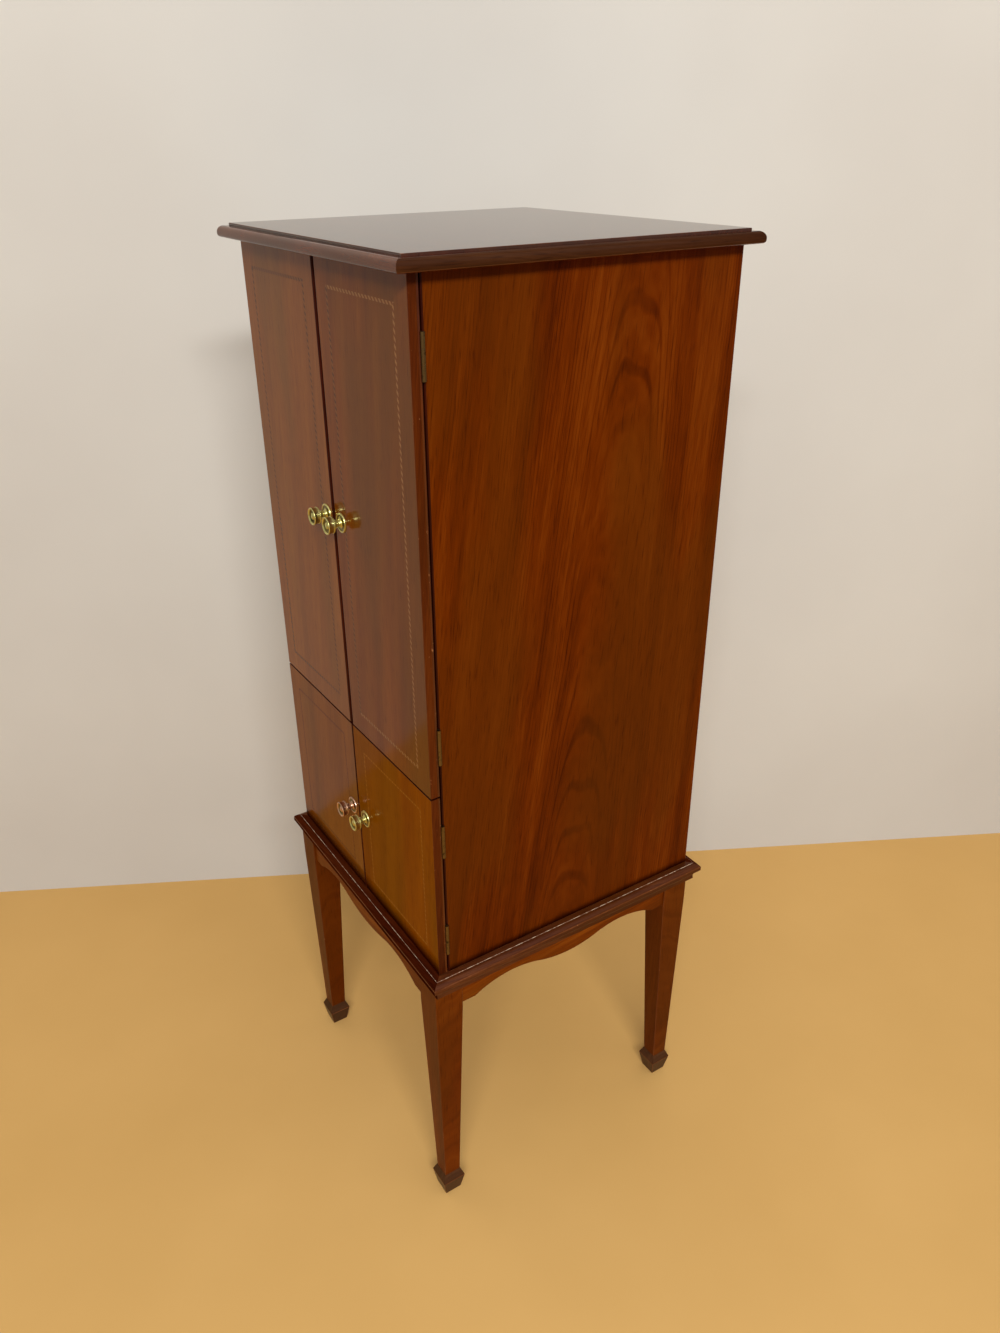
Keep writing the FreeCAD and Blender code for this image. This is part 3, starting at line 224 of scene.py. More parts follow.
@dataclass(frozen=True)
class Mahogany:
    """Mahogany, planed, stained and French polished: warm red-brown under a thin clear film."""

    name: str
    grain: Axis
    across: Axis
    figure: Figure
    dark: str = "#421200"
    middle: str = "#682a04"
    light: str = "#8f4a12"
    roughness: float = 0.32
    gloss: float = 0.5
    film: float = 0.0
    film_roughness: float = 0.12
    olive: str = "#552803"
    worn: float = 0.0
    worn_colour: str = "#a06a44"
    # Painted shade: how far the foot is darkened, and the height where the darkening ends
    foot_shade: float = 0.0
    foot_shade_top: float = 379.0

    def material(self) -> Material:
        """Build the material, whose pattern is in millimetres along and across the grain.

        Returns:
            The finished material.
        """
        material, shader = new_material(
            self.name, IOR=1.5, Specular_IOR_Level=self.gloss, Coat_Weight=self.film,
            Coat_Roughness=self.film_roughness, Coat_IOR=1.5,
        )
        tree = material.node_tree
        node = partial(add_node, tree)
        coordinates = node("ShaderNodeTexCoord").outputs["Object"]
        parts = node("ShaderNodeSeparateXYZ", inputs={0: coordinates}).outputs
        board = self._board(tree, parts)
        tone = self._rings(tree, board)
        colour = add_ramp(tree, tone, ((0.28, self.dark), (0.5, self.middle), (0.72, self.light)))
        pores = self._pores(tree, board)
        layers = [(self._drift(tree, board), "MIX", self.olive), (pores, "MULTIPLY", PORE_TINT)]
        if self.worn:
            layers.append((self._bare_patches(tree, board), "MIX", self.worn_colour))
        # Painted shade darkens the foot
        if self.foot_shade:
            layers.append((self._foot_shade(tree, parts[2]), "MULTIPLY", FOOT_SHADE_TINT))
        for factor, blend, tint in layers:
            colour = node(
                "ShaderNodeMix", {"data_type": "RGBA", "blend_type": blend},
                {"Factor": factor, 6: colour, 7: linear(tint)},
            ).outputs[2]
        rough = node("ShaderNodeMath", MULTIPLY_ADD, {0: pores, 1: 0.12, 2: self.roughness})
        bump = node(
            "ShaderNodeBump", {"invert": True},
            {"Strength": 0.25, "Distance": 0.15 * MM, "Height": pores},
        )
        tree.links.new(colour, shader.inputs["Base Color"])
        tree.links.new(rough.outputs[0], shader.inputs["Roughness"])
        tree.links.new(bump.outputs[0], shader.inputs["Normal"])
        return material

    def _board(self, tree: Tree, parts: Sequence[Socket]) -> Socket:
        """Return the place in the board, in millimetres from its leaning pith line."""
        node = partial(add_node, tree)
        depth = next(axis for axis in Axis if axis not in (self.grain, self.across))
        # Both sides of the cabinet are sawn alike, so depth is counted from the middle
        deep = node("ShaderNodeMath", {"operation": "ABSOLUTE"}, {0: parts[depth.value]})
        turned = node(
            "ShaderNodeCombineXYZ",
            inputs={0: parts[self.across.value], 1: deep.outputs[0], 2: parts[self.grain.value]},
        ).outputs[0]
        lean = Euler((0.0, self.figure.lean, 0.0))
        pith = Vector((self.figure.pith_across, self.figure.pith_depth, self.figure.arch_start))
        pith.rotate(lean)
        scale = (1 / MM, 1 / MM, 1 / MM)
        return node(
            "ShaderNodeMapping",
            inputs={"Vector": turned, "Location": -pith, "Rotation": lean, "Scale": scale},
        ).outputs[0]

    def _drift(self, tree: Tree, board: Socket) -> Socket:
        """Return how far the heartwood drifts from red to olive brown, otherwise in each board."""
        node = partial(add_node, tree)
        moved = (self.figure.shift * 20, 0.0, 0.0)
        place = node(
            "ShaderNodeMapping", inputs={"Vector": board, "Location": moved, "Scale": SLOW_STRETCH}
        ).outputs[0]
        zones = node(
            "ShaderNodeTexNoise", inputs={"Vector": place, "Scale": 1 / DRIFT_PATCH, "Detail": 2.0}
        ).outputs[0]
        return node(
            "ShaderNodeMapRange", SMOOTH, {0: zones, 1: 0.4, 2: 0.62, 3: 0.0, 4: 0.55}
        ).outputs[0]

    def _rings(self, tree: Tree, board: Socket) -> Socket:
        """Return the tone of the growth rings, from 0 dark to 1 light."""
        node = partial(add_node, tree)
        figure = self.figure
        parts = node("ShaderNodeSeparateXYZ", inputs={0: board}).outputs
        slowed = node("ShaderNodeMapping", inputs={"Vector": board, "Scale": SLOW_STRETCH})
        wander = node(
            "ShaderNodeTexNoise",
            inputs={"Vector": slowed.outputs[0], "Scale": 1 / 50, "Detail": 2.0, "Roughness": 0.45},
        ).outputs[0]
        # Rings are drawn squarish by a fourth power, which gives the arches blunt heads
        squares = node("ShaderNodeVectorMath", MULTIPLY, {0: board, 1: board}).outputs[0]
        level = node("ShaderNodeVectorMath", MULTIPLY, {0: squares, 1: (1.0, 1.0, 0.0)})
        fourth = node("ShaderNodeVectorMath", {"operation": "LENGTH"}, {0: level.outputs[0]})
        from_pith = node("ShaderNodeMath", {"operation": "SQRT"}, {0: fourth.outputs["Value"]})
        ring = node(
            "ShaderNodeMath", MULTIPLY_ADD, {0: parts[2], 1: figure.taper, 2: from_pith.outputs[0]}
        ).outputs[0]
        ring = node(
            "ShaderNodeMath", MULTIPLY_ADD, {0: wander, 1: figure.wander * 2, 2: ring}
        ).outputs[0]
        side_shift = node("ShaderNodeMath", MULTIPLY, {0: parts[0], 1: 0.12}).outputs[0]
        slow = node("ShaderNodeMath", MULTIPLY_ADD, {0: parts[2], 1: 0.05, 2: figure.shift})
        place = node(
            "ShaderNodeCombineXYZ", inputs={0: ring, 1: side_shift, 2: slow.outputs[0]}
        ).outputs[0]
        tone: object = 0.0
        for width, share, detail in RING_BANDS:
            band = node(
                "ShaderNodeTexNoise",
                inputs={"Vector": place, "Scale": 1 / width, "Detail": detail, "Roughness": 0.6},
            ).outputs[0]
            tone = node("ShaderNodeMath", MULTIPLY_ADD, {0: band, 1: share, 2: tone}).outputs[0]
        # Late wood shows as thin dark lines, which come and go
        mask = node(
            "ShaderNodeTexNoise",
            inputs={"Vector": place, "Scale": 1 / 16, "Detail": 2.0, "Roughness": 0.5},
        ).outputs[0]
        phase = node("ShaderNodeMath", MULTIPLY, {0: mask, 1: 9.0}).outputs[0]
        turn = node(
            "ShaderNodeMath", MULTIPLY_ADD, {0: ring, 1: math.tau / LATE_WOOD_PERIOD, 2: phase}
        ).outputs[0]
        wave = node("ShaderNodeMath", {"operation": "SINE"}, {0: turn}).outputs[0]
        line = node(
            "ShaderNodeMapRange", SMOOTH, {0: wave, 1: 0.6, 2: 1.0, 3: 0.0, 4: -figure.lines}
        ).outputs[0]
        shown = node("ShaderNodeMapRange", SMOOTH, {0: mask, 1: 0.42, 2: 0.6}).outputs[0]
        return node("ShaderNodeMath", MULTIPLY_ADD, {0: line, 1: shown, 2: tone}).outputs[0]

    def _pores(self, tree: Tree, board: Socket) -> Socket:
        """Return the mask of the open pores, drawn 1 mm wide so that they show."""
        node = partial(add_node, tree)
        place = node("ShaderNodeMapping", inputs={"Vector": board, "Scale": PORE_STRETCH})
        dashes = node(
            "ShaderNodeTexNoise", inputs={"Vector": place.outputs[0], "Scale": 0.9, "Detail": 2.0}
        ).outputs[0]
        return node(
            "ShaderNodeMapRange", SMOOTH, {0: dashes, 1: 0.54, 2: 0.78, 3: 0.0, 4: 0.6}
        ).outputs[0]

    def _foot_shade(self, tree: Tree, height: Socket) -> Socket:
        """Return the mask of the painted shade over the lowest part of the case, where it meets the
        moulding.
        """
        ends = {1: FOOT_SHADE_LOW * MM, 2: self.foot_shade_top * MM, 3: self.foot_shade, 4: 0.0}
        return add_node(tree, "ShaderNodeMapRange", SMOOTH, {0: height, **ends}).outputs[0]

    def _bare_patches(self, tree: Tree, board: Socket) -> Socket:
        """Return the mask of the patches where an arris is rubbed through its stain."""
        noise = {"Vector": board, "Scale": 1 / WEAR_PATCH, "Detail": 4.0, "Roughness": 0.7}
        patches = add_node(tree, "ShaderNodeTexNoise", inputs=noise).outputs[0]
        edge = 0.66 - self.worn * 0.3
        ends = {1: edge, 2: edge + 0.12, 3: 0.15 * self.worn, 4: 0.9}
        return add_node(tree, "ShaderNodeMapRange", SMOOTH, {0: patches, **ends}).outputs[0]


@dataclass(frozen=True)
class Brass:
    """Brass, turned or rolled, lacquered long ago: yellow metal with brown tarnish in patches."""

    name: str
    bright: str = "#cdc08e"
    dull: str = "#6e6134"
    roughness: float = 0.2
    tarnish: float = 0.5

    def material(self) -> Material:
        """Build the material.

        Returns:
            The finished material.
        """
        material, shader = new_material(self.name, Metallic=1.0)
        tree = material.node_tree
        node = partial(add_node, tree)
        coordinates = node("ShaderNodeTexCoord").outputs["Object"]
        scale = 1 / (TARNISH_PATCH * MM)
        patches = node(
            "ShaderNodeTexNoise",
            inputs={"Vector": coordinates, "Scale": scale, "Detail": 5.0, "Roughness": 0.65},
        ).outputs[0]
        ends = {1: 0.7 - self.tarnish * 0.4, 2: 0.8 - self.tarnish * 0.2, 3: 0.0, 4: 1.0}
        mask = node("ShaderNodeMapRange", SMOOTH, {0: patches, **ends}).outputs[0]
        colour = node(
            "ShaderNodeMix", {"data_type": "RGBA"},
            {"Factor": mask, 6: linear(self.bright), 7: linear(self.dull)},
        )
        rough = node("ShaderNodeMath", MULTIPLY_ADD, {0: mask, 1: 0.2, 2: self.roughness})
        bump = node(
            "ShaderNodeBump", inputs={"Strength": 0.15, "Distance": 0.1 * MM, "Height": patches}
        )
        tree.links.new(colour.outputs[2], shader.inputs["Base Color"])
        tree.links.new(rough.outputs[0], shader.inputs["Roughness"])
        tree.links.new(bump.outputs[0], shader.inputs["Normal"])
        return material


@dataclass(frozen=True)
class RopeInlay:
    """Boxwood and stained veneer, sawn as a twisted rope and let in: light beads on brown."""

    name: str
    light: str
    dark: str
    film: float
    period: float = 6.0
    lean: float = 0.9
    balance: float = 0.5

    def material(self) -> Material:
        """Build the material, which follows the strip's own UV map in millimetres.

        Returns:
            The finished material.
        """
        material, shader = new_material(
            self.name, IOR=1.5, Specular_IOR_Level=0.0, Coat_Weight=self.film, Coat_Roughness=0.1,
            Roughness=0.35,
        )
        tree = material.node_tree
        node = partial(add_node, tree)
        strip = node("ShaderNodeUVMap", {"uv_map": "strip"}).outputs[0]
        parts = node("ShaderNodeSeparateXYZ", inputs={0: strip}).outputs
        skewed = node("ShaderNodeMath", MULTIPLY_ADD, {0: parts[1], 1: self.lean, 2: parts[0]})
        turn = node(
            "ShaderNodeMath", MULTIPLY, {0: skewed.outputs[0], 1: math.tau / self.period}
        ).outputs[0]
        wave = node("ShaderNodeMath", {"operation": "SINE"}, {0: turn}).outputs[0]
        shade = node(
            "ShaderNodeMapRange", SMOOTH, {0: wave, 1: -self.balance, 2: self.balance}
        ).outputs[0]
        coordinates = node("ShaderNodeTexCoord").outputs["Object"]
        uneven = node(
            "ShaderNodeTexNoise",
            inputs={"Vector": coordinates, "Scale": 1 / (VENEER_PATCH * MM), "Detail": 3.0},
        ).outputs[0]
        shade = node(
            "ShaderNodeMath", {**MULTIPLY_ADD, "use_clamp": True}, {0: uneven, 1: 0.5, 2: shade}
        ).outputs[0]
        shade = node(
            "ShaderNodeMath", {"operation": "SUBTRACT", "use_clamp": True}, {0: shade, 1: 0.25}
        ).outputs[0]
        colour = add_ramp(tree, shade, ((0.1, self.dark), (0.85, self.light)))
        tree.links.new(colour, shader.inputs["Base Color"])
        return material


@dataclass(frozen=True)
class Plain:
    """A finish of one colour with a slight mottle, such as paint or steel."""

    name: str
    light: str
    dark: str
    patch: float
    roughness: float = 0.8
    metallic: float = 0.0
    one_sided: bool = False

    def material(self) -> Material:
        """Build the material.

        Returns:
            The finished material.
        """
        material, shader = new_material(self.name, Metallic=self.metallic, Roughness=self.roughness)
        tree = material.node_tree
        coordinates = add_node(tree, "ShaderNodeTexCoord").outputs["Object"]
        noise = {"Vector": coordinates, "Scale": 1 / (self.patch * MM), "Detail": 4.0}
        mottle = add_node(tree, "ShaderNodeTexNoise", inputs=noise).outputs[0]
        colour = add_ramp(tree, mottle, ((0.3, self.dark), (0.7, self.light)))
        tree.links.new(colour, shader.inputs["Base Color"])
        if self.one_sided:
            self._open_back(tree, shader)
        return material

    def _open_back(self, tree: Tree, shader: bpy.types.Node) -> None:
        """Leave a stage wall open from behind, so that the back of the cabinet is seen."""
        node = partial(add_node, tree)
        behind = node("ShaderNodeNewGeometry").outputs["Backfacing"]
        camera = node("ShaderNodeLightPath").outputs["Is Camera Ray"]
        amount = node("ShaderNodeMath", MULTIPLY, {0: behind, 1: camera}).outputs[0]
        clear = node("ShaderNodeBsdfTransparent").outputs[0]
        surface = node(
            "ShaderNodeMixShader", inputs={0: amount, 1: shader.outputs["BSDF"], 2: clear}
        ).outputs[0]
        output = next(item for item in tree.nodes if item.type == "OUTPUT_MATERIAL")
        tree.links.new(surface, output.inputs["Surface"])


STRAIGHT = Figure()


Finish = Mahogany | Brass | RopeInlay | Plain


@cache
def material_of(finish: Finish) -> Material:
    """Return the material of a finish, made on its first use."""
    return finish.material()


# ---- pieces

Edge = bmesh.types.BMEdge
Face = bmesh.types.BMFace


def add_object(name: str, data: bpy.types.ID) -> bpy.types.Object:
    """Add an object of a mesh, lamp or camera to the scene, and return it."""
    item = bpy.data.objects.new(name, data)
    bpy.context.scene.collection.objects.link(item)
    return item


class Piece:
    """One mesh piece while it is shaped, in metres in the part's frame."""

    def __init__(self, name: str) -> None:
        """Start an empty piece.

        Args:
            name: name of the finished object.
        """
        self.name = name
        self.shape = bmesh.new()

    def block(self, low: Point, high: Point) -> None:
        """Add a block between two corners.

        Args:
            low: lowest corner in millimetres.
            high: highest corner in millimetres.
        """
        first, last = Vector(low) * MM, Vector(high) * MM
        matrix = Matrix.Translation((first + last) / 2) @ Matrix.Diagonal((*(last - first), 1.0))
        bmesh.ops.create_cube(self.shape, size=1.0, matrix=matrix)

    def inset(self, face: Face, width: float) -> list[Face]:
        """Inset a face by a width in millimetres, and return the faces round it."""
        made = bmesh.ops.inset_region(
            self.shape, faces=[face], thickness=width * MM, use_even_offset=True
        )
        return made["faces"]

    def extrude(self, faces: Sequence[Face], shift: Point) -> None:
        """Extrude faces by a shift in millimetres."""
        made = bmesh.ops.extrude_face_region(self.shape, geom=faces)["geom"]
        verts = [item for item in made if isinstance(item, bmesh.types.BMVert)]
        bmesh.ops.translate(self.shape, verts=verts, vec=Vector(shift) * MM)

    def open_faces(self, faces: Sequence[Face]) -> None:
        """Take faces away and leave the piece open there."""
        bmesh.ops.delete(self.shape, geom=faces, context="FACES")

    def cut_level(self, height: float) -> None:
        """Cut the faces along a level plane at a height in millimetres."""
        bmesh.ops.bisect_plane(
            self.shape, geom=self.shape.verts[:] + self.shape.edges[:] + self.shape.faces[:],
            plane_co=(0.0, 0.0, height * MM), plane_no=(0.0, 0.0, 1.0),
        )

    def copy_node(self, node: str) -> None:
        """Take a merged copy of a CAD node's mesh, with its flat faces in one piece."""
        self.shape.from_mesh(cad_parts[node].data)
        bmesh.ops.remove_doubles(self.shape, verts=self.shape.verts, dist=TOUCH)
        bmesh.ops.dissolve_limit(
            self.shape, angle_limit=math.radians(0.5), use_dissolve_boundaries=False,
            verts=self.shape.verts, edges=self.shape.edges,
        )
        for face in self.shape.faces:
            face.material_index = 0

    def turn(self, outline: Iterable[Span], centre: Point, steps: int = 48) -> None:
        """Turn an outline about a level axis that points to -Y.

        Args:
            outline: radius and distance outward of each point, in millimetres.
            centre: point of the axis where the distance outward is 0.
            steps: facets round the axis.
        """
        start = Vector(centre) * MM
        ring = [
            self.shape.verts.new(start + Vector((radius, -out, 0.0)) * MM)
            for radius, out in outline
        ]
        edges = [self.shape.edges.new(pair) for pair in zip(ring, ring[1:])]
        bmesh.ops.spin(
            self.shape, geom=ring + edges, cent=start, axis=(0.0, 1.0, 0.0), angle=math.tau,
            steps=steps, use_merge=True,
        )
        bmesh.ops.remove_doubles(self.shape, verts=self.shape.verts, dist=TOUCH)

    def stain_ring(self, centre: Point, radii: Span, outs: Span) -> None:
        """Give the faces of a turned piece between two radii and depths the second material.

        Args:
            centre: point of the axis where the distance outward is 0.
            radii: least and most radius of a face's middle, in millimetres.
            outs: least and most distance outward of a face's middle, in millimetres.
        """
        start = Vector(centre) * MM
        for face in self.shape.faces:
            place = (face.calc_center_median() - start) / MM
            radius = math.hypot(place.x, place.z)
            if radii[0] < radius < radii[1] and outs[0] < -place.y < outs[1]:
                face.material_index = 1

    def bevel(
        self, wanted: Callable[[Edge], bool], width: float, segments: int = 2, index: int = 0
    ) -> None:
        """Bevel the edges that a test picks.

        Args:
            wanted: test of an edge.
            width: width of the bevel in millimetres.
            segments: facets across the bevel.
            index: material of the new faces, where 0 leaves them as they are.
        """
        self.shape.normal_update()
        made = bmesh.ops.bevel(
            self.shape, geom=[edge for edge in self.shape.edges if wanted(edge)], offset=width * MM,
            offset_type="OFFSET", segments=segments, profile=0.5, affect="EDGES",
            clamp_overlap=True, material=-1,
        )
        if index:
            for face in made["faces"]:
                face.material_index = index

    def finish(
        self, finishes: Sequence[Finish], body: str, slot: str, nodes: Sequence[str],
        smooth_angle: float = 24.0,
    ) -> None:
        """Make the piece an object that rides on a body.

        Args:
            finishes: finishes in the order of the faces' indices.
            body: CAD body that carries the piece.
            slot: not used.
            nodes: CAD nodes that the piece stands for.
            smooth_angle: angle in degrees under which faces meet smoothly.
        """
        bmesh.ops.recalc_face_normals(self.shape, faces=self.shape.faces)
        limit = math.radians(smooth_angle)
        for face in self.shape.faces:
            face.smooth = True
        # A broad flat face keeps its own normal beside a narrow bevel
        for edge in self.shape.edges:
            areas = [face.calc_area() for face in edge.link_faces]
            alike = max(areas) < BROAD * min(areas)
            edge.smooth = alike and edge.calc_face_angle(math.pi) < limit
        mesh = bpy.data.meshes.new(self.name)
        self.shape.to_mesh(mesh)
        self.shape.free()
        for finish in finishes:
            mesh.materials.append(material_of(finish))
        item = add_object(self.name, mesh)
        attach(item, body)
        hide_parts(*nodes)
        log.info("%s: %d faces on %s", self.name, len(mesh.polygons), body)


def is_arris(edge: Edge, degrees: float = 40.0) -> bool:
    """Return whether an edge is a sharp outer corner."""
    return edge.is_convex and edge.calc_face_angle(0.0) > math.radians(degrees)


def dress_nodes(names: Iterable[str], finish: Finish) -> None:
    """Give CAD nodes that stay in sight a finish."""
    for name in names:
        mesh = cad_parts[name].data
        mesh.materials.clear()
        mesh.materials.append(material_of(finish))


@dataclass
class TopBoard:
    """The top board, with a raised flat inside a rounded edge."""

    low: Point = (-189.5, -188.25, 1054.0)
    high: Point = (189.5, 184.75, 1064.6)
    ovolo: float = 6.0
    flat_inset: float = 3.7
    flat_ease: float = 0.5
    step: float = 2.4
    nose_start: float = 0.2
    arris: float = 3.0
    # Thick bright polish: seen low, the flat is a clear grey mirror of the wall
    wood: Mahogany = Mahogany(
        "French polished mahogany, top", Axis.X, Axis.Y,
        Figure(pith_across=300.0, pith_depth=900.0), "#280d07", "#3f190c", "#552711",
        olive="#371d0e", gloss=0.0, film=0.9, film_roughness=0.04,
    )
    # Polish over a round, with a painted sheen: a lighter grey brown streak along the front than
    # along the sides
    front_nose_painted_sheen: Mahogany = Mahogany(
        "French polished mahogany, rounded top edge", Axis.Y, Axis.X, STRAIGHT, "#3a160a",
        "#5a2b15", "#74422a", olive="#4c2812", gloss=0.0, film=0.8,
    )
    # The same nose along the sides, with painted shade: darker brown and nearly matt, as it mirrors
    # no wall
    side_nose_in_painted_shade: Mahogany = Mahogany(
        "French polished mahogany, rounded side edges of the top", Axis.Y, Axis.X, STRAIGHT,
        "#2a1007", "#3e1f0d", "#58331a", olive="#341c0c", gloss=0.0, film=0.12,
    )
    # Painted shade of the step on the flat's arris: a dark line round the flat, with brown breaks
    # where the stain is rubbed thin
    edge_wood: Mahogany = Mahogany(
        "French polished mahogany, rubbed top edge", Axis.X, Axis.Y, STRAIGHT, "#260d06", "#3a1a0c",
        "#502a16", gloss=0.1, worn=0.2, worn_colour="#7a4c30",
    )

    def build(self) -> None:
        """Shape and dress the top board."""
        piece = Piece("moulded_top_board")
        piece.block(self.low, self.high)
        top = self.high[2] * MM
        piece.bevel(lambda edge: all(v.co.z > top - NEAR * MM for v in edge.verts), self.ovolo, 8)
        flat = max(piece.shape.faces, key=lambda face: face.calc_center_median().z)
        piece.inset(flat, self.flat_inset)
        piece.extrude([flat], (0.0, 0.0, self.step))
        piece.open_faces([flat])
        piece.shape.normal_update()
        level = top + self.step * MM
        # Painted shade: the eased arris of the flat gets the dark step line
        piece.bevel(
            lambda edge: all(v.co.z > level - SLACK * MM for v in edge.verts), self.flat_ease, 2,
            index=1,
        )
        # The nose is dressed by the way its faces look: front and back get the painted sheen, the
        # sides the painted shade
        for face in piece.shape.faces:
            if face.calc_center_median().z < top - self.nose_start * MM:
                face.material_index = 3 if abs(face.normal.x) > abs(face.normal.y) else 2
        foot = self.low[2] * MM
        piece.bevel(lambda edge: all(v.co.z < foot + SLACK * MM for v in edge.verts), self.arris, 5)
        piece.finish(
            (self.wood, self.edge_wood, self.front_nose_painted_sheen, self.side_nose_in_painted_shade), "cabinet",
            "show_mahogany", ["top_board"],
        )


@dataclass
class Case:
    """The two sides, the back and the boards inside."""

    side_in: float = 160.5
    side_out: float = 172.5
    front: float = -159.25
    back: float = 174.75
    heights: Span = (354.0, 1054.0)
    knuckle_cut: float = 1.07
    ease: float = 0.5
    long_edge: float = 20.0
    # Crown cut board with little film: nested arches in glowing red brown, hardly mirrored
    side_wood: Mahogany = Mahogany(
        "French polished mahogany, crown cut sides", Axis.Z, Axis.Y,
        Figure(
            pith_across=57.0, pith_depth=134.0, arch_start=988.0, lean=-0.1, taper=0.05, wander=2.2,
            shift=61.8, lines=0.13,
        ),
        # Painted shade darkens the foot of the sides up to 365 mm
        "#3f1300", "#5d2300", "#753606", gloss=0.03, foot_shade=0.9, foot_shade_top=365.0,
    )
    # Corners that cloths have rubbed: a thin line of paler, drier wood
    arris_wood: Mahogany = Mahogany(
        "French polished mahogany, rubbed side edges", Axis.Z, Axis.Y, STRAIGHT, "#3a1206",
        "#5a2510", "#7a3c1c", worn=0.5,
    )
    # Never polished: dry pink brown boards that only oil has darkened
    inner_wood: Mahogany = Mahogany(
        "Mahogany, planed and oiled, boards inside", Axis.X, Axis.Y, Figure(shift=31.0), "#552812",
        "#744020", "#8c5630", olive="#68391c", roughness=0.6, gloss=0.3,
    )
    # Thin sanded ply: a flat brown sheet whose arches are faint
    back_wood: Mahogany = Mahogany(
        "Mahogany veneered ply, sanded, back panel", Axis.Z, Axis.X,
        Figure(pith_across=95.0, pith_depth=120.0, arch_start=820.0, taper=0.07, shift=44.0),
        "#4c2210", "#68371c", "#7e4a28", olive="#5c3018", roughness=0.65, gloss=0.25,
    )

    def build(self) -> None:
        """Shape the sides, and dress them and the boards inside."""
        for side in Side:
            self.build_side(side)
        dress_nodes(
            ("bottom_board", "divider_board", "upper_shelf", "shelf_bearers", "top_rails"),
            self.inner_wood,
        )
        dress_nodes(("back_panel",), self.back_wood)
        dress_nodes(("case_screws", "back_panel_screws", "hinge_case_screws"), STEEL)
        dress_nodes(("hinge_case_leaves", "catch_springs"), HINGE_BRASS)
        dress_nodes(("hinge_pins",), PIN_BRASS)

    def build_side(self, side: Side) -> None:
        """Shape one side panel, with its front corner cut back where the hinge knuckles lie."""
        name = side.name.lower()
        piece = Piece(f"{name}_case_side")
        sign = side.value
        ends = sorted((self.side_in * sign, self.side_out * sign))
        piece.block((ends[0], self.front, self.heights[0]), (ends[1], self.back, self.heights[1]))
        outer, front = self.side_out * MM, self.front * MM

        def on_corner(edge: Edge) -> bool:
            return all(
                abs(abs(v.co.x) - outer) < TOUCH and abs(v.co.y - front) < TOUCH for v in edge.verts
            )

        # Painted shade: the cut corner and the front face, which lie in the gap behind the door,
        # get the near black edge
        piece.bevel(on_corner, self.knuckle_cut, 1, index=2)
        piece.bevel(
            lambda edge: is_arris(edge, 80.0) and edge.calc_length() > self.long_edge * MM,
            self.ease, 2, index=1,
        )
        front_face = min(piece.shape.faces, key=lambda face: face.calc_center_median().y)
        front_face.material_index = 2
        piece.finish(
            (self.side_wood, self.arris_wood, GAP_SHADE_EDGE), "cabinet", "show_mahogany",
            [f"side_panel_{name}"],
        )


# Rolled brass that browned in the gap: dull bronze leaves with a narrow soft gleam
HINGE_BRASS = Brass("Brass, rolled, hinges", bright="#6f5c3c", dull="#35291a", roughness=0.3)
# Drawn pins rubbed at each opening: the pale dots along the hinge line
PIN_BRASS = Brass("Brass, drawn, hinge pins", bright="#c4b690", dull="#8a7a52", tarnish=0.2)
# Turned brass under old lacquer: sharp olive yellow streaks along each rim
KNOB_BRASS = Brass(
    "Brass, turned and lacquered, knobs", bright="#d0ca84", dull="#8c8446", roughness=0.3,
    tarnish=0.3,
)
# The same brass where the lacquer wore off and copper shows: a pinker, softer gleam
PINK_BRASS = Brass(
    "Brass, turned, lacquer worn off", bright="#cfa88c", dull="#75503a", roughness=0.28, tarnish=0.4
)
# Brass that no hand polishes: the dark olive ring which makes the face look hollow
HOLLOW_BRASS = Brass(
    "Brass, turned, tarnished in the hollows", bright="#7c6e3c", dull="#40351a", roughness=0.34
)
# Drawn steel: small grey screw heads with spots of rust
STEEL = Plain(
    "Steel, drawn and rusted a little, screws", "#a09a90", "#6a5c4e", patch=3.0, roughness=0.4,
    metallic=1.0,
)
# Painted shade on the faces in the gaps: near black red that draws the line between pieces
GAP_SHADE_EDGE = Mahogany(
    "Mahogany, dark stain, edges in the gaps", Axis.Z, Axis.X, STRAIGHT, "#200502", "#360d04",
    "#481406", olive="#280a03", gloss=0.1,
)
# Stained and polished thin: a red brown edge darker than the broad faces beside it
DOOR_EDGE = Mahogany(
    "French polished mahogany, door edges", Axis.Z, Axis.Y, STRAIGHT, "#341003", "#4c1d04",
    "#632e0a", olive="#3e1c05", gloss=0.06, worn=0.02,
)


def door_wood_with_painted_light(
    place: str, dark: str, middle: str, light: str, olive: str, film: float, foot_shade: float
) -> Mahogany:
    """Return the wood of one door front, which mirrors the room under its polish and has painted
    light in its colours.

    Args:
        place: row and side of the door, for the name.
        dark: darkest colour of its rings.
        middle: colour between them.
        light: lightest colour of its rings.
        olive: colour of its brown zones.
        film: weight of the clear polish.
        foot_shade: how far painted shade darkens the foot of the door.

    Returns:
        The finish.
    """
    return Mahogany(
        f"French polished mahogany, {place} door front", Axis.Z, Axis.X,
        Figure(pith_across=460.0, lean=0.02, shift=7.0 * foot_shade, lines=0.04), dark, middle, light,
        olive=olive, gloss=0.0, film=film, film_roughness=0.1, foot_shade=foot_shade,
    )


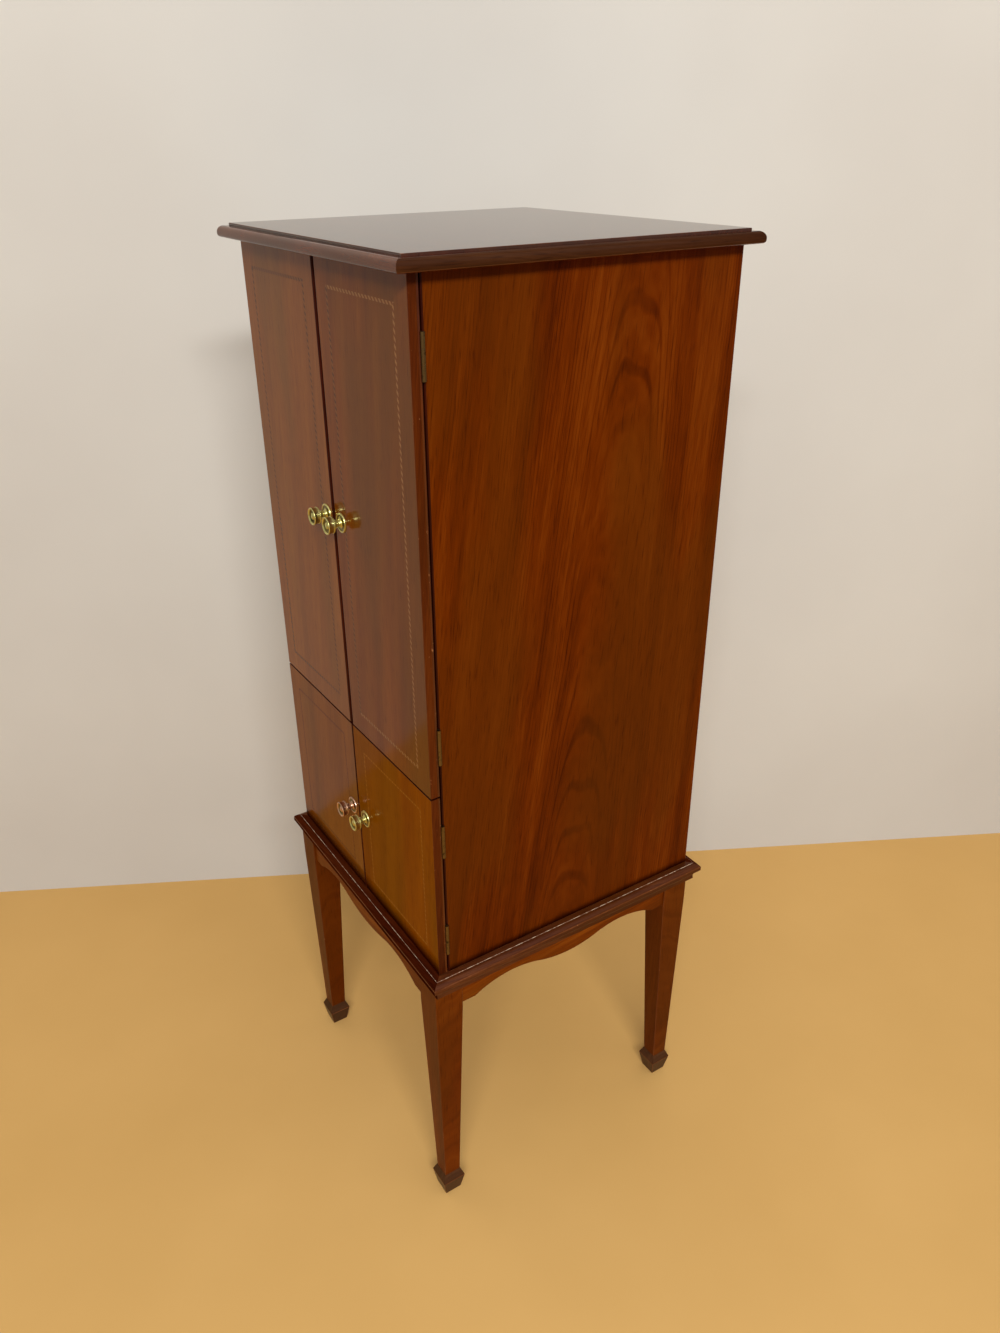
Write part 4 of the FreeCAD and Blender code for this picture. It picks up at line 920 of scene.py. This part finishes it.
@dataclass
class Door:
    """One door with its bead, inlaid line, knob and hinge leaves."""

    row: Row
    side: Side
    meeting_edge: float
    heights: Span
    inset: float
    line_width: float
    meeting_cut: float
    wood: Mahogany
    line: RopeInlay
    inner_line: RopeInlay
    outer_edge: float = 172.5
    front: float = -171.25
    back: float = -161.25
    bead: float = 2.0
    bead_ease: float = 0.9
    quirk: float = 0.4
    quirk_depth: float = 0.5
    groove: float = 1.2
    knob_inset: float = 15.0
    knob_drop: float = 4.0
    ease: float = 0.6
    long_edge: float = 50.0
    # Arrises and bead by the gaps, darkened with painted shade to a dark red line, with a few paler
    # specks where hands have rubbed them
    arris_wood: Mahogany = Mahogany(
        "French polished mahogany, rubbed door edges", Axis.Z, Axis.X, STRAIGHT, "#2e0c04",
        "#4a1c0b", "#662e14", gloss=0.2, worn=0.15,
    )

    @property
    def name(self) -> str:
        """Name of the door, as its CAD nodes start."""
        return f"{self.row.value}_{self.side.name.lower()}"

    @property
    def body(self) -> str:
        """CAD body of the door."""
        return f"{self.name}_door"

    def build(self) -> None:
        """Shape and dress the door and all that it carries."""
        self.build_panel()
        self.build_line()
        self.build_knob()
        brass = [f"{self.name}_hinge_door_leaves", f"{self.name}_catch_stud"]
        dress_nodes(brass, HINGE_BRASS)
        dress_nodes([f"{self.name}_hinge_door_screws"], STEEL)

    def build_panel(self) -> None:
        """Shape the panel with its bead, its rubbed arrises and the groove of its line."""
        piece = Piece(f"{self.name}_panel")
        sign = self.side.value
        bead_front = self.back - self.bead
        corners = (
            (self.meeting_edge, self.front), (self.outer_edge, self.front),
            (self.outer_edge, bead_front - self.quirk),
            (self.outer_edge - self.quirk_depth, bead_front - self.quirk),
            (self.outer_edge - self.quirk_depth, bead_front), (self.outer_edge, bead_front),
            (self.outer_edge, self.back), (self.meeting_edge, self.back),
        )
        foot = [
            piece.shape.verts.new(Vector((x * sign, y, self.heights[0])) * MM) for x, y in corners
        ]
        section = piece.shape.faces.new(foot)
        piece.extrude([section], (0.0, 0.0, self.heights[1] - self.heights[0]))
        bmesh.ops.recalc_face_normals(piece.shape, faces=piece.shape.faces)
        outer = self.outer_edge * MM

        def on_bead(edge: Edge) -> bool:
            return edge.calc_length() > self.long_edge * MM and all(
                abs(abs(v.co.x) - outer) < TOUCH and v.co.y > (bead_front - SLACK) * MM
                for v in edge.verts
            )

        piece.bevel(on_bead, self.bead_ease, 4)
        meeting = self.meeting_edge * MM
        # Painted shade: the top, foot and meeting faces, which lie in the gaps, get the near black
        # edge
        for face in piece.shape.faces:
            place = face.calc_center_median()
            if abs(face.normal.z) > FACING or abs(abs(place.x) - meeting) < TOUCH:
                face.material_index = 2
            # Painted shade: the bead in the hinge gap gets the darkened arris wood
            elif place.y > (bead_front - SLACK) * MM and abs(place.x) > outer - self.bead * MM:
                face.material_index = 1
            elif abs(place.x) > outer - TOUCH:
                face.material_index = 3

        def on_meeting_arris(edge: Edge) -> bool:
            return all(
                abs(abs(v.co.x) - meeting) < TOUCH and v.co.y < (self.front + SLACK) * MM
                for v in edge.verts
            )

        # Painted shade on the cut meeting arris
        piece.bevel(on_meeting_arris, self.meeting_cut, 3, index=2)
        # Painted shade darkens the front arrises beside the gaps
        piece.bevel(
            lambda edge: is_arris(edge, 80.0)
            and edge.calc_length() > self.long_edge * MM
            and all(v.co.y < (self.front + SLACK) * MM for v in edge.verts),
            self.ease, 2, index=1,
        )
        face = min(
            piece.shape.faces, key=lambda item: (item.calc_center_median().y, -item.calc_area())
        )
        self.inset_line(piece, face)
        ring = piece.inset(face, self.line_width)
        piece.extrude(ring, (0.0, self.groove, 0.0))
        piece.open_faces(ring)
        piece.finish(
            (self.wood, self.arris_wood, GAP_SHADE_EDGE, DOOR_EDGE), self.body, "show_mahogany",
            [f"{self.name}_door_panel"],
        )

    def inset_line(self, piece: Piece, face: Face) -> None:
        """Inset the front face to the outer edge of the line, as far on all four sides."""
        middle = (self.meeting_edge + self.outer_edge) / 2 * self.side.value
        half = (self.outer_edge - self.meeting_edge) / 2 - self.inset
        level = (self.heights[0] + self.heights[1]) / 2
        rise = (self.heights[1] - self.heights[0]) / 2 - self.inset
        piece.inset(face, self.inset / 2)
        for vert in face.verts:
            vert.co.x = (middle + math.copysign(half, vert.co.x - middle * MM)) * MM
            vert.co.z = (level + math.copysign(rise, vert.co.z - level * MM)) * MM

    def build_line(self) -> None:
        """Shape the inlaid line as one mitred ring with its own UV map in millimetres."""
        piece = Piece(f"{self.name}_inlaid_line")
        sign = self.side.value
        ends = sorted(
            ((self.meeting_edge + self.inset) * sign, (self.outer_edge - self.inset) * sign)
        )
        low = (ends[0], self.front, self.heights[0] + self.inset)
        high = (ends[1], self.front + self.groove, self.heights[1] - self.inset)
        piece.block(low, high)
        piece.shape.normal_update()
        front = min(piece.shape.faces, key=lambda item: item.calc_center_median().y)
        back = max(piece.shape.faces, key=lambda item: item.calc_center_median().y)
        for face in (front, back):
            piece.inset(face, self.line_width)
        rims = [list(face.edges) for face in (front, back)]
        piece.open_faces([front, back])
        bmesh.ops.bridge_loops(piece.shape, edges=rims[0] + rims[1])
        strip = piece.shape.loops.layers.uv.new("strip")
        for face in piece.shape.faces:
            extent = [
                max(v.co[i] for v in face.verts) - min(v.co[i] for v in face.verts) for i in (0, 2)
            ]
            along, across = (2, 0) if extent[1] > extent[0] else (0, 2)
            middle = (self.meeting_edge + self.outer_edge) / 2 * MM
            if along == 2 and abs(face.calc_center_median().x) < middle:
                face.material_index = 1
            for loop in face.loops:
                place = loop.vert.co
                loop[strip].uv = (place[along] / MM, place[across] / MM)
        piece.finish(
            [self.line, self.inner_line], self.body,
            "rope_inlay" if self.row is Row.UPPER else "line_inlay", [f"{self.name}_string_inlay"],
        )

    def build_knob(self) -> None:
        """Turn the knob and its plate."""
        sign = self.side.value
        centre = (
            (self.meeting_edge + self.knob_inset) * sign, self.front,
            (self.heights[0] + self.heights[1]) / 2 - self.knob_drop,
        )
        knob = Piece(f"{self.name}_turned_knob")
        knob.turn(KNOB_OUTLINE, centre)
        knob.stain_ring(centre, *KNOB_HOLLOW)
        plate = Piece(f"{self.name}_turned_plate")
        plate.turn(PLATE_OUTLINE, centre)
        plate.stain_ring(centre, *PLATE_HOLLOW)
        pink = self.row is Row.LOWER and self.side is Side.LEFT
        brass = [PINK_BRASS if pink else KNOB_BRASS, HOLLOW_BRASS]
        for piece, node in ((knob, "knob"), (plate, "knob_plate")):
            piece.finish(brass, self.body, "knob_brass", [f"{self.name}_{node}"], smooth_angle=30.0)


# Radius and distance outward of the knob, from its neck to the boss in its hollow face
KNOB_OUTLINE: tuple[Span, ...] = (
    (0.0, 1.0), (4.1, 1.0), (4.4, 1.7), (4.0, 2.4), (3.2, 2.8), (3.0, 3.4), (3.0, 4.6), (3.5, 5.1),
    (4.1, 5.7), (4.1, 6.4), (3.5, 7.0), (3.1, 7.5), (3.3, 8.1), (4.6, 8.7), (6.8, 9.1), (8.0, 9.4),
    (8.45, 9.9), (8.4, 10.5), (8.0, 10.9), (7.95, 11.6), (8.05, 13.6), (8.2, 14.4), (8.5, 15.1),
    (8.72, 15.7), (8.75, 16.2), (8.4, 16.75), (7.9, 16.8), (7.4, 16.4), (6.9, 15.8), (6.2, 15.2),
    (5.2, 14.9), (4.1, 14.9), (3.5, 15.2), (2.9, 15.8), (2.1, 16.2), (1.1, 16.4), (0.0, 16.5),
)

# Radius and distance outward of the knob's plate, with a raised ring near its edge
PLATE_OUTLINE: tuple[Span, ...] = (
    (0.0, 0.0), (10.0, 0.0), (10.0, 0.5), (9.8, 1.0), (9.3, 1.3), (8.7, 1.35), (8.2, 1.1),
    (7.8, 0.75), (7.0, 0.65), (5.8, 0.75), (5.2, 1.1), (4.6, 1.35), (3.0, 1.4), (0.0, 1.4),
)


# Radii and distances outward between which the brass is tarnished
KNOB_HOLLOW: tuple[Span, Span] = ((3.6, 6.8), (14.8, 16.0))
PLATE_HOLLOW: tuple[Span, Span] = ((5.2, 8.4), (0.5, 1.2))


@dataclass
class Stand:
    """The stand: moulded frame, four tapered legs with spade feet, and shaped aprons."""

    leg_faces: tuple[Span, Span] = ((-175.25, 175.25), (-179.0, 175.75))
    leg_width: float = 34.0
    leg_top: float = 331.0
    block_foot: float = 300.0
    foot_top: float = 33.0
    foot_width: float = 20.0
    taper_out: float = 4.5
    collar_height: float = 22.5
    collar_width: float = 28.5
    floor_width: float = 20.3
    flat_level: float = 354.0
    nose_level: float = 349.0
    apron_level: float = 313.0
    leg_ease: float = 0.7
    foot_ease: float = 0.6
    apron_ease: float = 0.4
    flat_ease: float = 0.4
    nose_ease: float = 0.7
    upright_edge: float = 10.0
    long_edge: float = 250.0
    short_edge: float = 0.5
    level_slack: float = 0.05
    # Straight grain up the leg, with painted light on the front right leg: a warm orange brown
    # under thin polish
    leg_wood: Mahogany = Mahogany(
        "French polished mahogany, front right leg", Axis.Z, Axis.X, Figure(pith_across=500.0),
        "#471500", "#6a2c03", "#8a480e", gloss=0.04,
    )
    # The same with painted shade: the other legs stand back as a deeper red brown
    dark_leg_wood: Mahogany = Mahogany(
        "French polished mahogany, darker legs", Axis.Z, Axis.X,
        Figure(pith_across=500.0, shift=17.0), "#3d1100", "#5b2302", "#783b0b", gloss=0.04,
    )
    # Knocked leg corners: a fine line between the faces, paler in short breaks
    leg_arris_wood: Mahogany = Mahogany(
        "French polished mahogany, leg arrises", Axis.Z, Axis.X, STRAIGHT, "#3a1206", "#5c2a10",
        "#7c4420", gloss=0.1, worn=0.1,
    )
    # Dark stain kicked dry: matt grey brown feet, far darker than the legs
    foot_wood: Mahogany = Mahogany(
        "Mahogany, dark stain scuffed dry, spade feet", Axis.Z, Axis.X, STRAIGHT, "#2c180e",
        "#432716", "#5c3a24", olive="#3c2614", gloss=0.1, worn=0.04, worn_colour="#7c5a40",
    )
    # Dark stain to frame the case: the front moulding is a deep red brown band
    dark_wood: Mahogany = Mahogany(
        "French polished mahogany, dark mouldings", Axis.X, Axis.Y, STRAIGHT, "#2c0b02", "#441706",
        "#5c290e", olive="#3c1706", gloss=0.0,
    )
    # The same stain with the side light painted in: a lighter brown, with the grain just readable
    dark_side_wood: Mahogany = Mahogany(
        "French polished mahogany, dark side mouldings", Axis.Y, Axis.X, STRAIGHT, "#321206",
        "#4a220d", "#663618", gloss=0.12,
    )
    # Painted highlight along the nosing and the feet's arrises, with a little real wear: a warm
    # brown line below the dark band
    nosing_highlight_wood: Mahogany = Mahogany(
        "French polished mahogany, thin polish on the nosing", Axis.X, Axis.Y, STRAIGHT, "#4c2410",
        "#683a20", "#825032", gloss=0.15, worn=0.06,
    )
    # Rubbed to bare wood: the chipped pale line where the case meets the stand
    rubbed_wood: Mahogany = Mahogany(
        "Mahogany, rubbed through its stain, stand edges", Axis.X, Axis.Y, STRAIGHT, "#5c3424",
        "#7c4c34", "#9a6a4c", worn=0.7, worn_colour="#c4ac92",
    )

    def build(self) -> None:
        """Shape and dress every piece of the stand."""
        for end in End:
            for side in Side:
                self.build_leg(end, side)
                self.build_foot(end, side)
        self.build_frame()
        dress_nodes(["corner_blocks"], Case.inner_wood)

    def corner(self, end: End, side: Side, inset: float, width: float) -> tuple[Span, Span]:
        """Return the x and y ends of a square set in from the outer faces of a leg."""
        spans = []
        for faces, sign in zip(self.leg_faces, (side.value, end.value)):
            outer = faces[1] if sign > 0 else faces[0]
            spans.append(tuple(sorted((outer - inset * sign, outer - (inset + width) * sign))))
        return spans[0], spans[1]

    def taper(
        self, piece: Piece, verts: Iterable[bmesh.types.BMVert], target: tuple[Span, Span]
    ) -> None:
        """Move a level square of vertices to the corners of another square."""
        ring = list(verts)
        for axis, (low, high) in enumerate(target):
            values = [vert.co[axis] for vert in ring]
            old_low, old_high = min(values), max(values)
            factor = (high - low) * MM / (old_high - old_low)
            scale = [1.0, 1.0, 1.0]
            scale[axis] = factor
            shift = [0.0, 0.0, 0.0]
            shift[axis] = low * MM - old_low * factor
            bmesh.ops.scale(piece.shape, vec=scale, verts=ring)
            bmesh.ops.translate(piece.shape, vec=shift, verts=ring)

    def build_leg(self, end: End, side: Side) -> None:
        """Shape one leg: a square block above a tapered shaft."""
        name = f"{end.name.lower()}_{side.name.lower()}"
        piece = Piece(f"{name}_tapered_leg")
        (x_low, x_high), (y_low, y_high) = self.corner(end, side, 0.0, self.leg_width)
        piece.block((x_low, y_low, self.foot_top), (x_high, y_high, self.leg_top))
        piece.cut_level(self.block_foot)
        foot = [v for v in piece.shape.verts if v.co.z < (self.foot_top + NEAR) * MM]
        self.taper(piece, foot, self.corner(end, side, self.taper_out, self.foot_width))
        piece.bevel(
            lambda edge: is_arris(edge)
            and abs(edge.verts[0].co.z - edge.verts[1].co.z) > self.upright_edge * MM,
            self.leg_ease, 2, index=1,
        )
        # Painted light: the front right leg is dressed lighter than the other three
        lit = end is End.FRONT and side is Side.RIGHT
        wood = self.leg_wood if lit else self.dark_leg_wood
        piece.finish([wood, self.leg_arris_wood], "cabinet", "leg_mahogany", [f"leg_{name}"])

    def build_foot(self, end: End, side: Side) -> None:
        """Shape one spade foot, widest at its collar."""
        name = f"{end.name.lower()}_{side.name.lower()}"
        piece = Piece(f"{name}_spade")
        centre = self.taper_out + self.foot_width / 2

        def square(width: float) -> tuple[Span, Span]:
            return self.corner(end, side, centre - width / 2, width)

        (x_low, x_high), (y_low, y_high) = square(self.collar_width)
        piece.block((x_low, y_low, 0.0), (x_high, y_high, self.foot_top))
        piece.cut_level(self.collar_height)
        top = [v for v in piece.shape.verts if v.co.z > (self.foot_top - NEAR) * MM]
        floor = [v for v in piece.shape.verts if v.co.z < NEAR * MM]
        self.taper(piece, top, square(self.foot_width))
        self.taper(piece, floor, square(self.floor_width))
        # Painted highlight on the feet's arrises
        piece.bevel(
            lambda edge: is_arris(edge, 20.0)
            and max(v.co.z for v in edge.verts) < (self.foot_top - NEAR) * MM,
            self.foot_ease, 2, index=1,
        )
        piece.finish(
            [self.foot_wood, self.nosing_highlight_wood], "cabinet", "dark_mahogany", [f"spade_foot_{name}"]
        )

    def build_frame(self) -> None:
        """Ease the arrises of the mouldings and aprons, and dress them."""
        for name in ("front", "back", "left", "right"):
            level = Axis.X if name in ("front", "back") else Axis.Y
            moulding = Piece(f"{name}_stand_moulding")
            moulding.copy_node(f"stand_moulding_{name}")
            # The nose's arris gets the painted highlight
            for height, width, index in (
                (self.flat_level, self.flat_ease, 1), (self.nose_level, self.nose_ease, 2)
            ):
                moulding.bevel(
                    lambda edge: is_arris(edge, 20.0)
                    and edge.calc_length() > self.long_edge * MM
                    and all(abs(v.co.z - height * MM) < self.level_slack * MM for v in edge.verts),
                    width, 3, index=index,
                )
            # Painted light: the side mouldings get the lighter copy of the stain
            wood = self.dark_wood if level is Axis.X else self.dark_side_wood
            moulding.finish(
                [wood, self.rubbed_wood, self.nosing_highlight_wood], "cabinet", "dark_mahogany",
                [f"stand_moulding_{name}"],
            )
            apron = Piece(f"{name}_shaped_apron")
            apron.copy_node(f"apron_{name}")
            run = level.value
            apron.bevel(
                lambda edge: is_arris(edge, 60.0)
                and all(v.co.z < self.apron_level * MM for v in edge.verts)
                and abs(edge.verts[0].co[run] - edge.verts[1].co[run]) > self.short_edge * MM,
                self.apron_ease, 2, index=1,
            )
            # Grain level along the apron: an orange brown edge that echoes the legs
            apron_wood = Mahogany(
                f"French polished mahogany, {level.name} apron", level, Axis.Z,
                Figure(pith_across=700.0), "#481600", "#6e3003", "#8c4a0e", gloss=0.04,
            )
            apron.finish(
                [apron_wood, self.leg_arris_wood], "cabinet", "leg_mahogany", [f"apron_{name}"]
            )


@dataclass(frozen=True)
class Lamp:
    """A soft lamp, wide and high as given, that looks at a point."""

    name: str
    place: Point
    target: Point
    size: Span
    power: float
    colour: str = "#ffffff"

    def build(self) -> None:
        """Add the lamp."""
        light = bpy.data.lights.new(self.name, "AREA")
        light.shape = "RECTANGLE"
        light.size, light.size_y = (length * MM for length in self.size)
        light.energy = self.power
        light.color = linear(self.colour)[:3]
        item = add_object(self.name, light)
        start, end = Vector(self.place) * MM, Vector(self.target) * MM
        item.location = start
        item.rotation_euler = (end - start).to_track_quat("-Z", "Y").to_euler()


@dataclass
class Studio:
    """Plain floor and wall, soft lamps, and the camera at the photograph's angle."""

    camera_place: Point = (887.2, -551.75, 1145.6)
    yaw: float = 57.219
    pitch: float = 27.645
    roll: float = -0.507
    focal_pixels: float = 1023.76
    image_height: float = 1333.0
    sensor: float = 36.0
    wall_foot: tuple[Span, Span] = ((-732.0, -529.0), (108.0, 1034.0))
    wall_reach: Span = (2600.0, 4200.0)
    wall_height: float = 3200.0
    floor_reach: Span = (0.0, 7000.0)
    lamps: tuple[Lamp, ...] = (
        Lamp("key", (2790.0, -1490.0, 2750.0), (0.0, 0.0, 600.0), (2000.0, 260.0), 131.0),
        Lamp("side", (2160.0, 915.0, 2580.0), (0.0, 0.0, 800.0), (2300.0, 2300.0), 12.0),
        Lamp(
            "ceiling", (300.0, -200.0, 3200.0), (0.0, 0.0, 0.0), (2200.0, 2200.0), 22.0, "#fdfdff"
        ),
    )
    world_colour: str = "#f2f4f8"
    world_strength: float = 0.19
    seen_colour: str = "#e2dcd0"
    seen_strength: float = 0.6

    def build(self) -> None:
        """Add the floor, the wall, the lamps, the world and the camera."""
        first, last = (Vector((*point, 0.0)) * MM for point in self.wall_foot)
        along = (last - first).normalized()
        start = first - along * self.wall_reach[0] * MM
        end = last + along * self.wall_reach[1] * MM
        inward = along.cross(Vector((0.0, 0.0, 1.0)))
        near, far = (inward * reach * MM for reach in self.floor_reach)
        # A matt honey floor, whose glow lights the lower doors amber
        floor = Plain(
            "Matt vinyl, rolled, studio floor", "#d3a660", "#cb9e58", patch=400.0, roughness=0.75
        )
        self.sheet("studio_floor", (start + near, end + near, end + far, start + far), floor)
        rise = Vector((0.0, 0.0, self.wall_height * MM))
        # Flat pale paint: the even grey that the polish of the top and the doors mirrors
        paint = Plain(
            "Emulsion paint, rolled, wall", "#cfccc4", "#c7c3bb", patch=500.0, roughness=0.85,
            one_sided=True,
        )
        self.sheet("studio_wall", (start, end, end + rise, start + rise), paint)
        for lamp in self.lamps:
            lamp.build()
        self.build_world()
        bpy.context.scene.view_settings.view_transform = "Standard"
        self.build_camera()

    def build_world(self) -> None:
        """Add the world: a faint fill light, and a pale room where it is seen or mirrored."""
        world = bpy.data.worlds.new("studio_light")
        bpy.context.scene.world = world
        world.use_nodes = True
        tree = world.node_tree
        tree.nodes.clear()
        rays = add_node(tree, "ShaderNodeLightPath").outputs
        seen = add_node(
            tree, "ShaderNodeMath", {"operation": "MAXIMUM"},
            {0: rays["Is Camera Ray"], 1: rays["Is Glossy Ray"]},
        ).outputs[0]
        room, fill = (
            add_node(
                tree, "ShaderNodeBackground", inputs={"Color": linear(colour), "Strength": strength}
            ).outputs[0]
            for colour, strength in (
                (self.seen_colour, self.seen_strength),
                (self.world_colour, self.world_strength),
            )
        )
        light = add_node(tree, "ShaderNodeMixShader", inputs={0: seen, 1: fill, 2: room}).outputs[0]
        add_node(tree, "ShaderNodeOutputWorld", inputs={"Surface": light})

    def sheet(self, name: str, corners: Sequence[Vector], finish: Finish) -> None:
        """Add one flat sheet of the studio."""
        shape = bmesh.new()
        shape.faces.new([shape.verts.new(corner) for corner in corners])
        mesh = bpy.data.meshes.new(name)
        shape.to_mesh(mesh)
        shape.free()
        mesh.materials.append(material_of(finish))
        add_object(name, mesh)

    def build_camera(self) -> None:
        """Add the camera from its measured place, turn and focal length."""
        yaw, pitch, roll = (math.radians(turn) for turn in (self.yaw, self.pitch, self.roll))
        back = Vector(
            (math.sin(yaw) * math.cos(pitch), -math.cos(yaw) * math.cos(pitch), math.sin(pitch))
        )
        right = (-back).cross(Vector((0.0, 0.0, 1.0))).normalized()
        up = right.cross(-back)
        turned_right = right * math.cos(roll) + up * math.sin(roll)
        turned_up = up * math.cos(roll) - right * math.sin(roll)
        data = bpy.data.cameras.new("photo_camera")
        data.sensor_width = self.sensor
        data.lens = self.sensor * self.focal_pixels / self.image_height
        item = add_object("photo_camera", data)
        matrix = Matrix((turned_right, turned_up, back)).transposed().to_4x4()
        matrix.translation = Vector(self.camera_place) * MM
        item.matrix_world = matrix
        bpy.context.scene.camera = item


def main() -> None:
    """Build the cabinet and its studio."""
    logging.basicConfig(level=logging.INFO, format="%(name)s: %(message)s")
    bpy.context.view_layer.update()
    Studio().build()
    TopBoard().build()
    Case().build()
    Stand().build()
    # Four copies of one wood, with painted light in their colours: the left pair is painted lighter
    # for the bright wall that it catches, the right pair is browner, and both lower doors are
    # painted amber for the floor's glow above a foot of painted shade
    upper_left = door_wood_with_painted_light(
        "upper left", "#6e3b0b", "#7e450e", "#8c5312", "#704610", film=0.53, foot_shade=0.0
    )
    upper_right = door_wood_with_painted_light(
        "upper right", "#5f2d0a", "#733b0c", "#804610", "#5c380c", film=0.46, foot_shade=0.0
    )
    lower_left = door_wood_with_painted_light(
        "lower left", "#693708", "#7a4309", "#864d0e", "#6a420b", film=0.4, foot_shade=1.0
    )
    lower_right = door_wood_with_painted_light(
        "lower right", "#6d3500", "#814300", "#8e4e02", "#734500", film=0.14, foot_shade=1.0
    )
    # Rope stringing: a row of small tan beads, drawn 6 mm long so that they show
    rope = RopeInlay("Boxwood and dyed veneer, sawn rope line", "#906436", "#6c3a12", film=0.46)
    # The same line gone brown near the meeting edges: a row of faint dark stitches
    browned = RopeInlay(
        "Boxwood and dyed veneer, sawn rope line, browned", "#7c4816", "#4c2a10", film=0.5
    )
    for side, wood in zip(Side, (upper_left, upper_right)):
        line = rope if side is Side.RIGHT else browned
        Door(
            Row.UPPER, side, meeting_edge=1.5, heights=(580.0, 1052.0), inset=22.5, line_width=3.0,
            meeting_cut=2.2, wood=wood, line=line, inner_line=browned,
        ).build()
    # A single dyed line: barely darker than the wood, a mere scratch of shadow
    dyed = RopeInlay("Dyed veneer, sawn single line", "#6c380e", "#4c240a", film=0.36, balance=2.0)
    # The same line with the floor's glow painted into its colour: a thread lighter than the wood
    floor_glow_line = RopeInlay(
        "Dyed veneer, sawn single line, faded", "#99601a", "#7a4608", film=0.14, balance=2.0
    )
    for side, wood, line in zip(Side, (lower_left, lower_right), (dyed, floor_glow_line)):
        Door(
            Row.LOWER, side, meeting_edge=1.0, heights=(355.5, 578.0), inset=23.0, line_width=1.8,
            meeting_cut=0.8, wood=wood, line=line, inner_line=line,
        ).build()


if __name__ == "__main__":
    main()
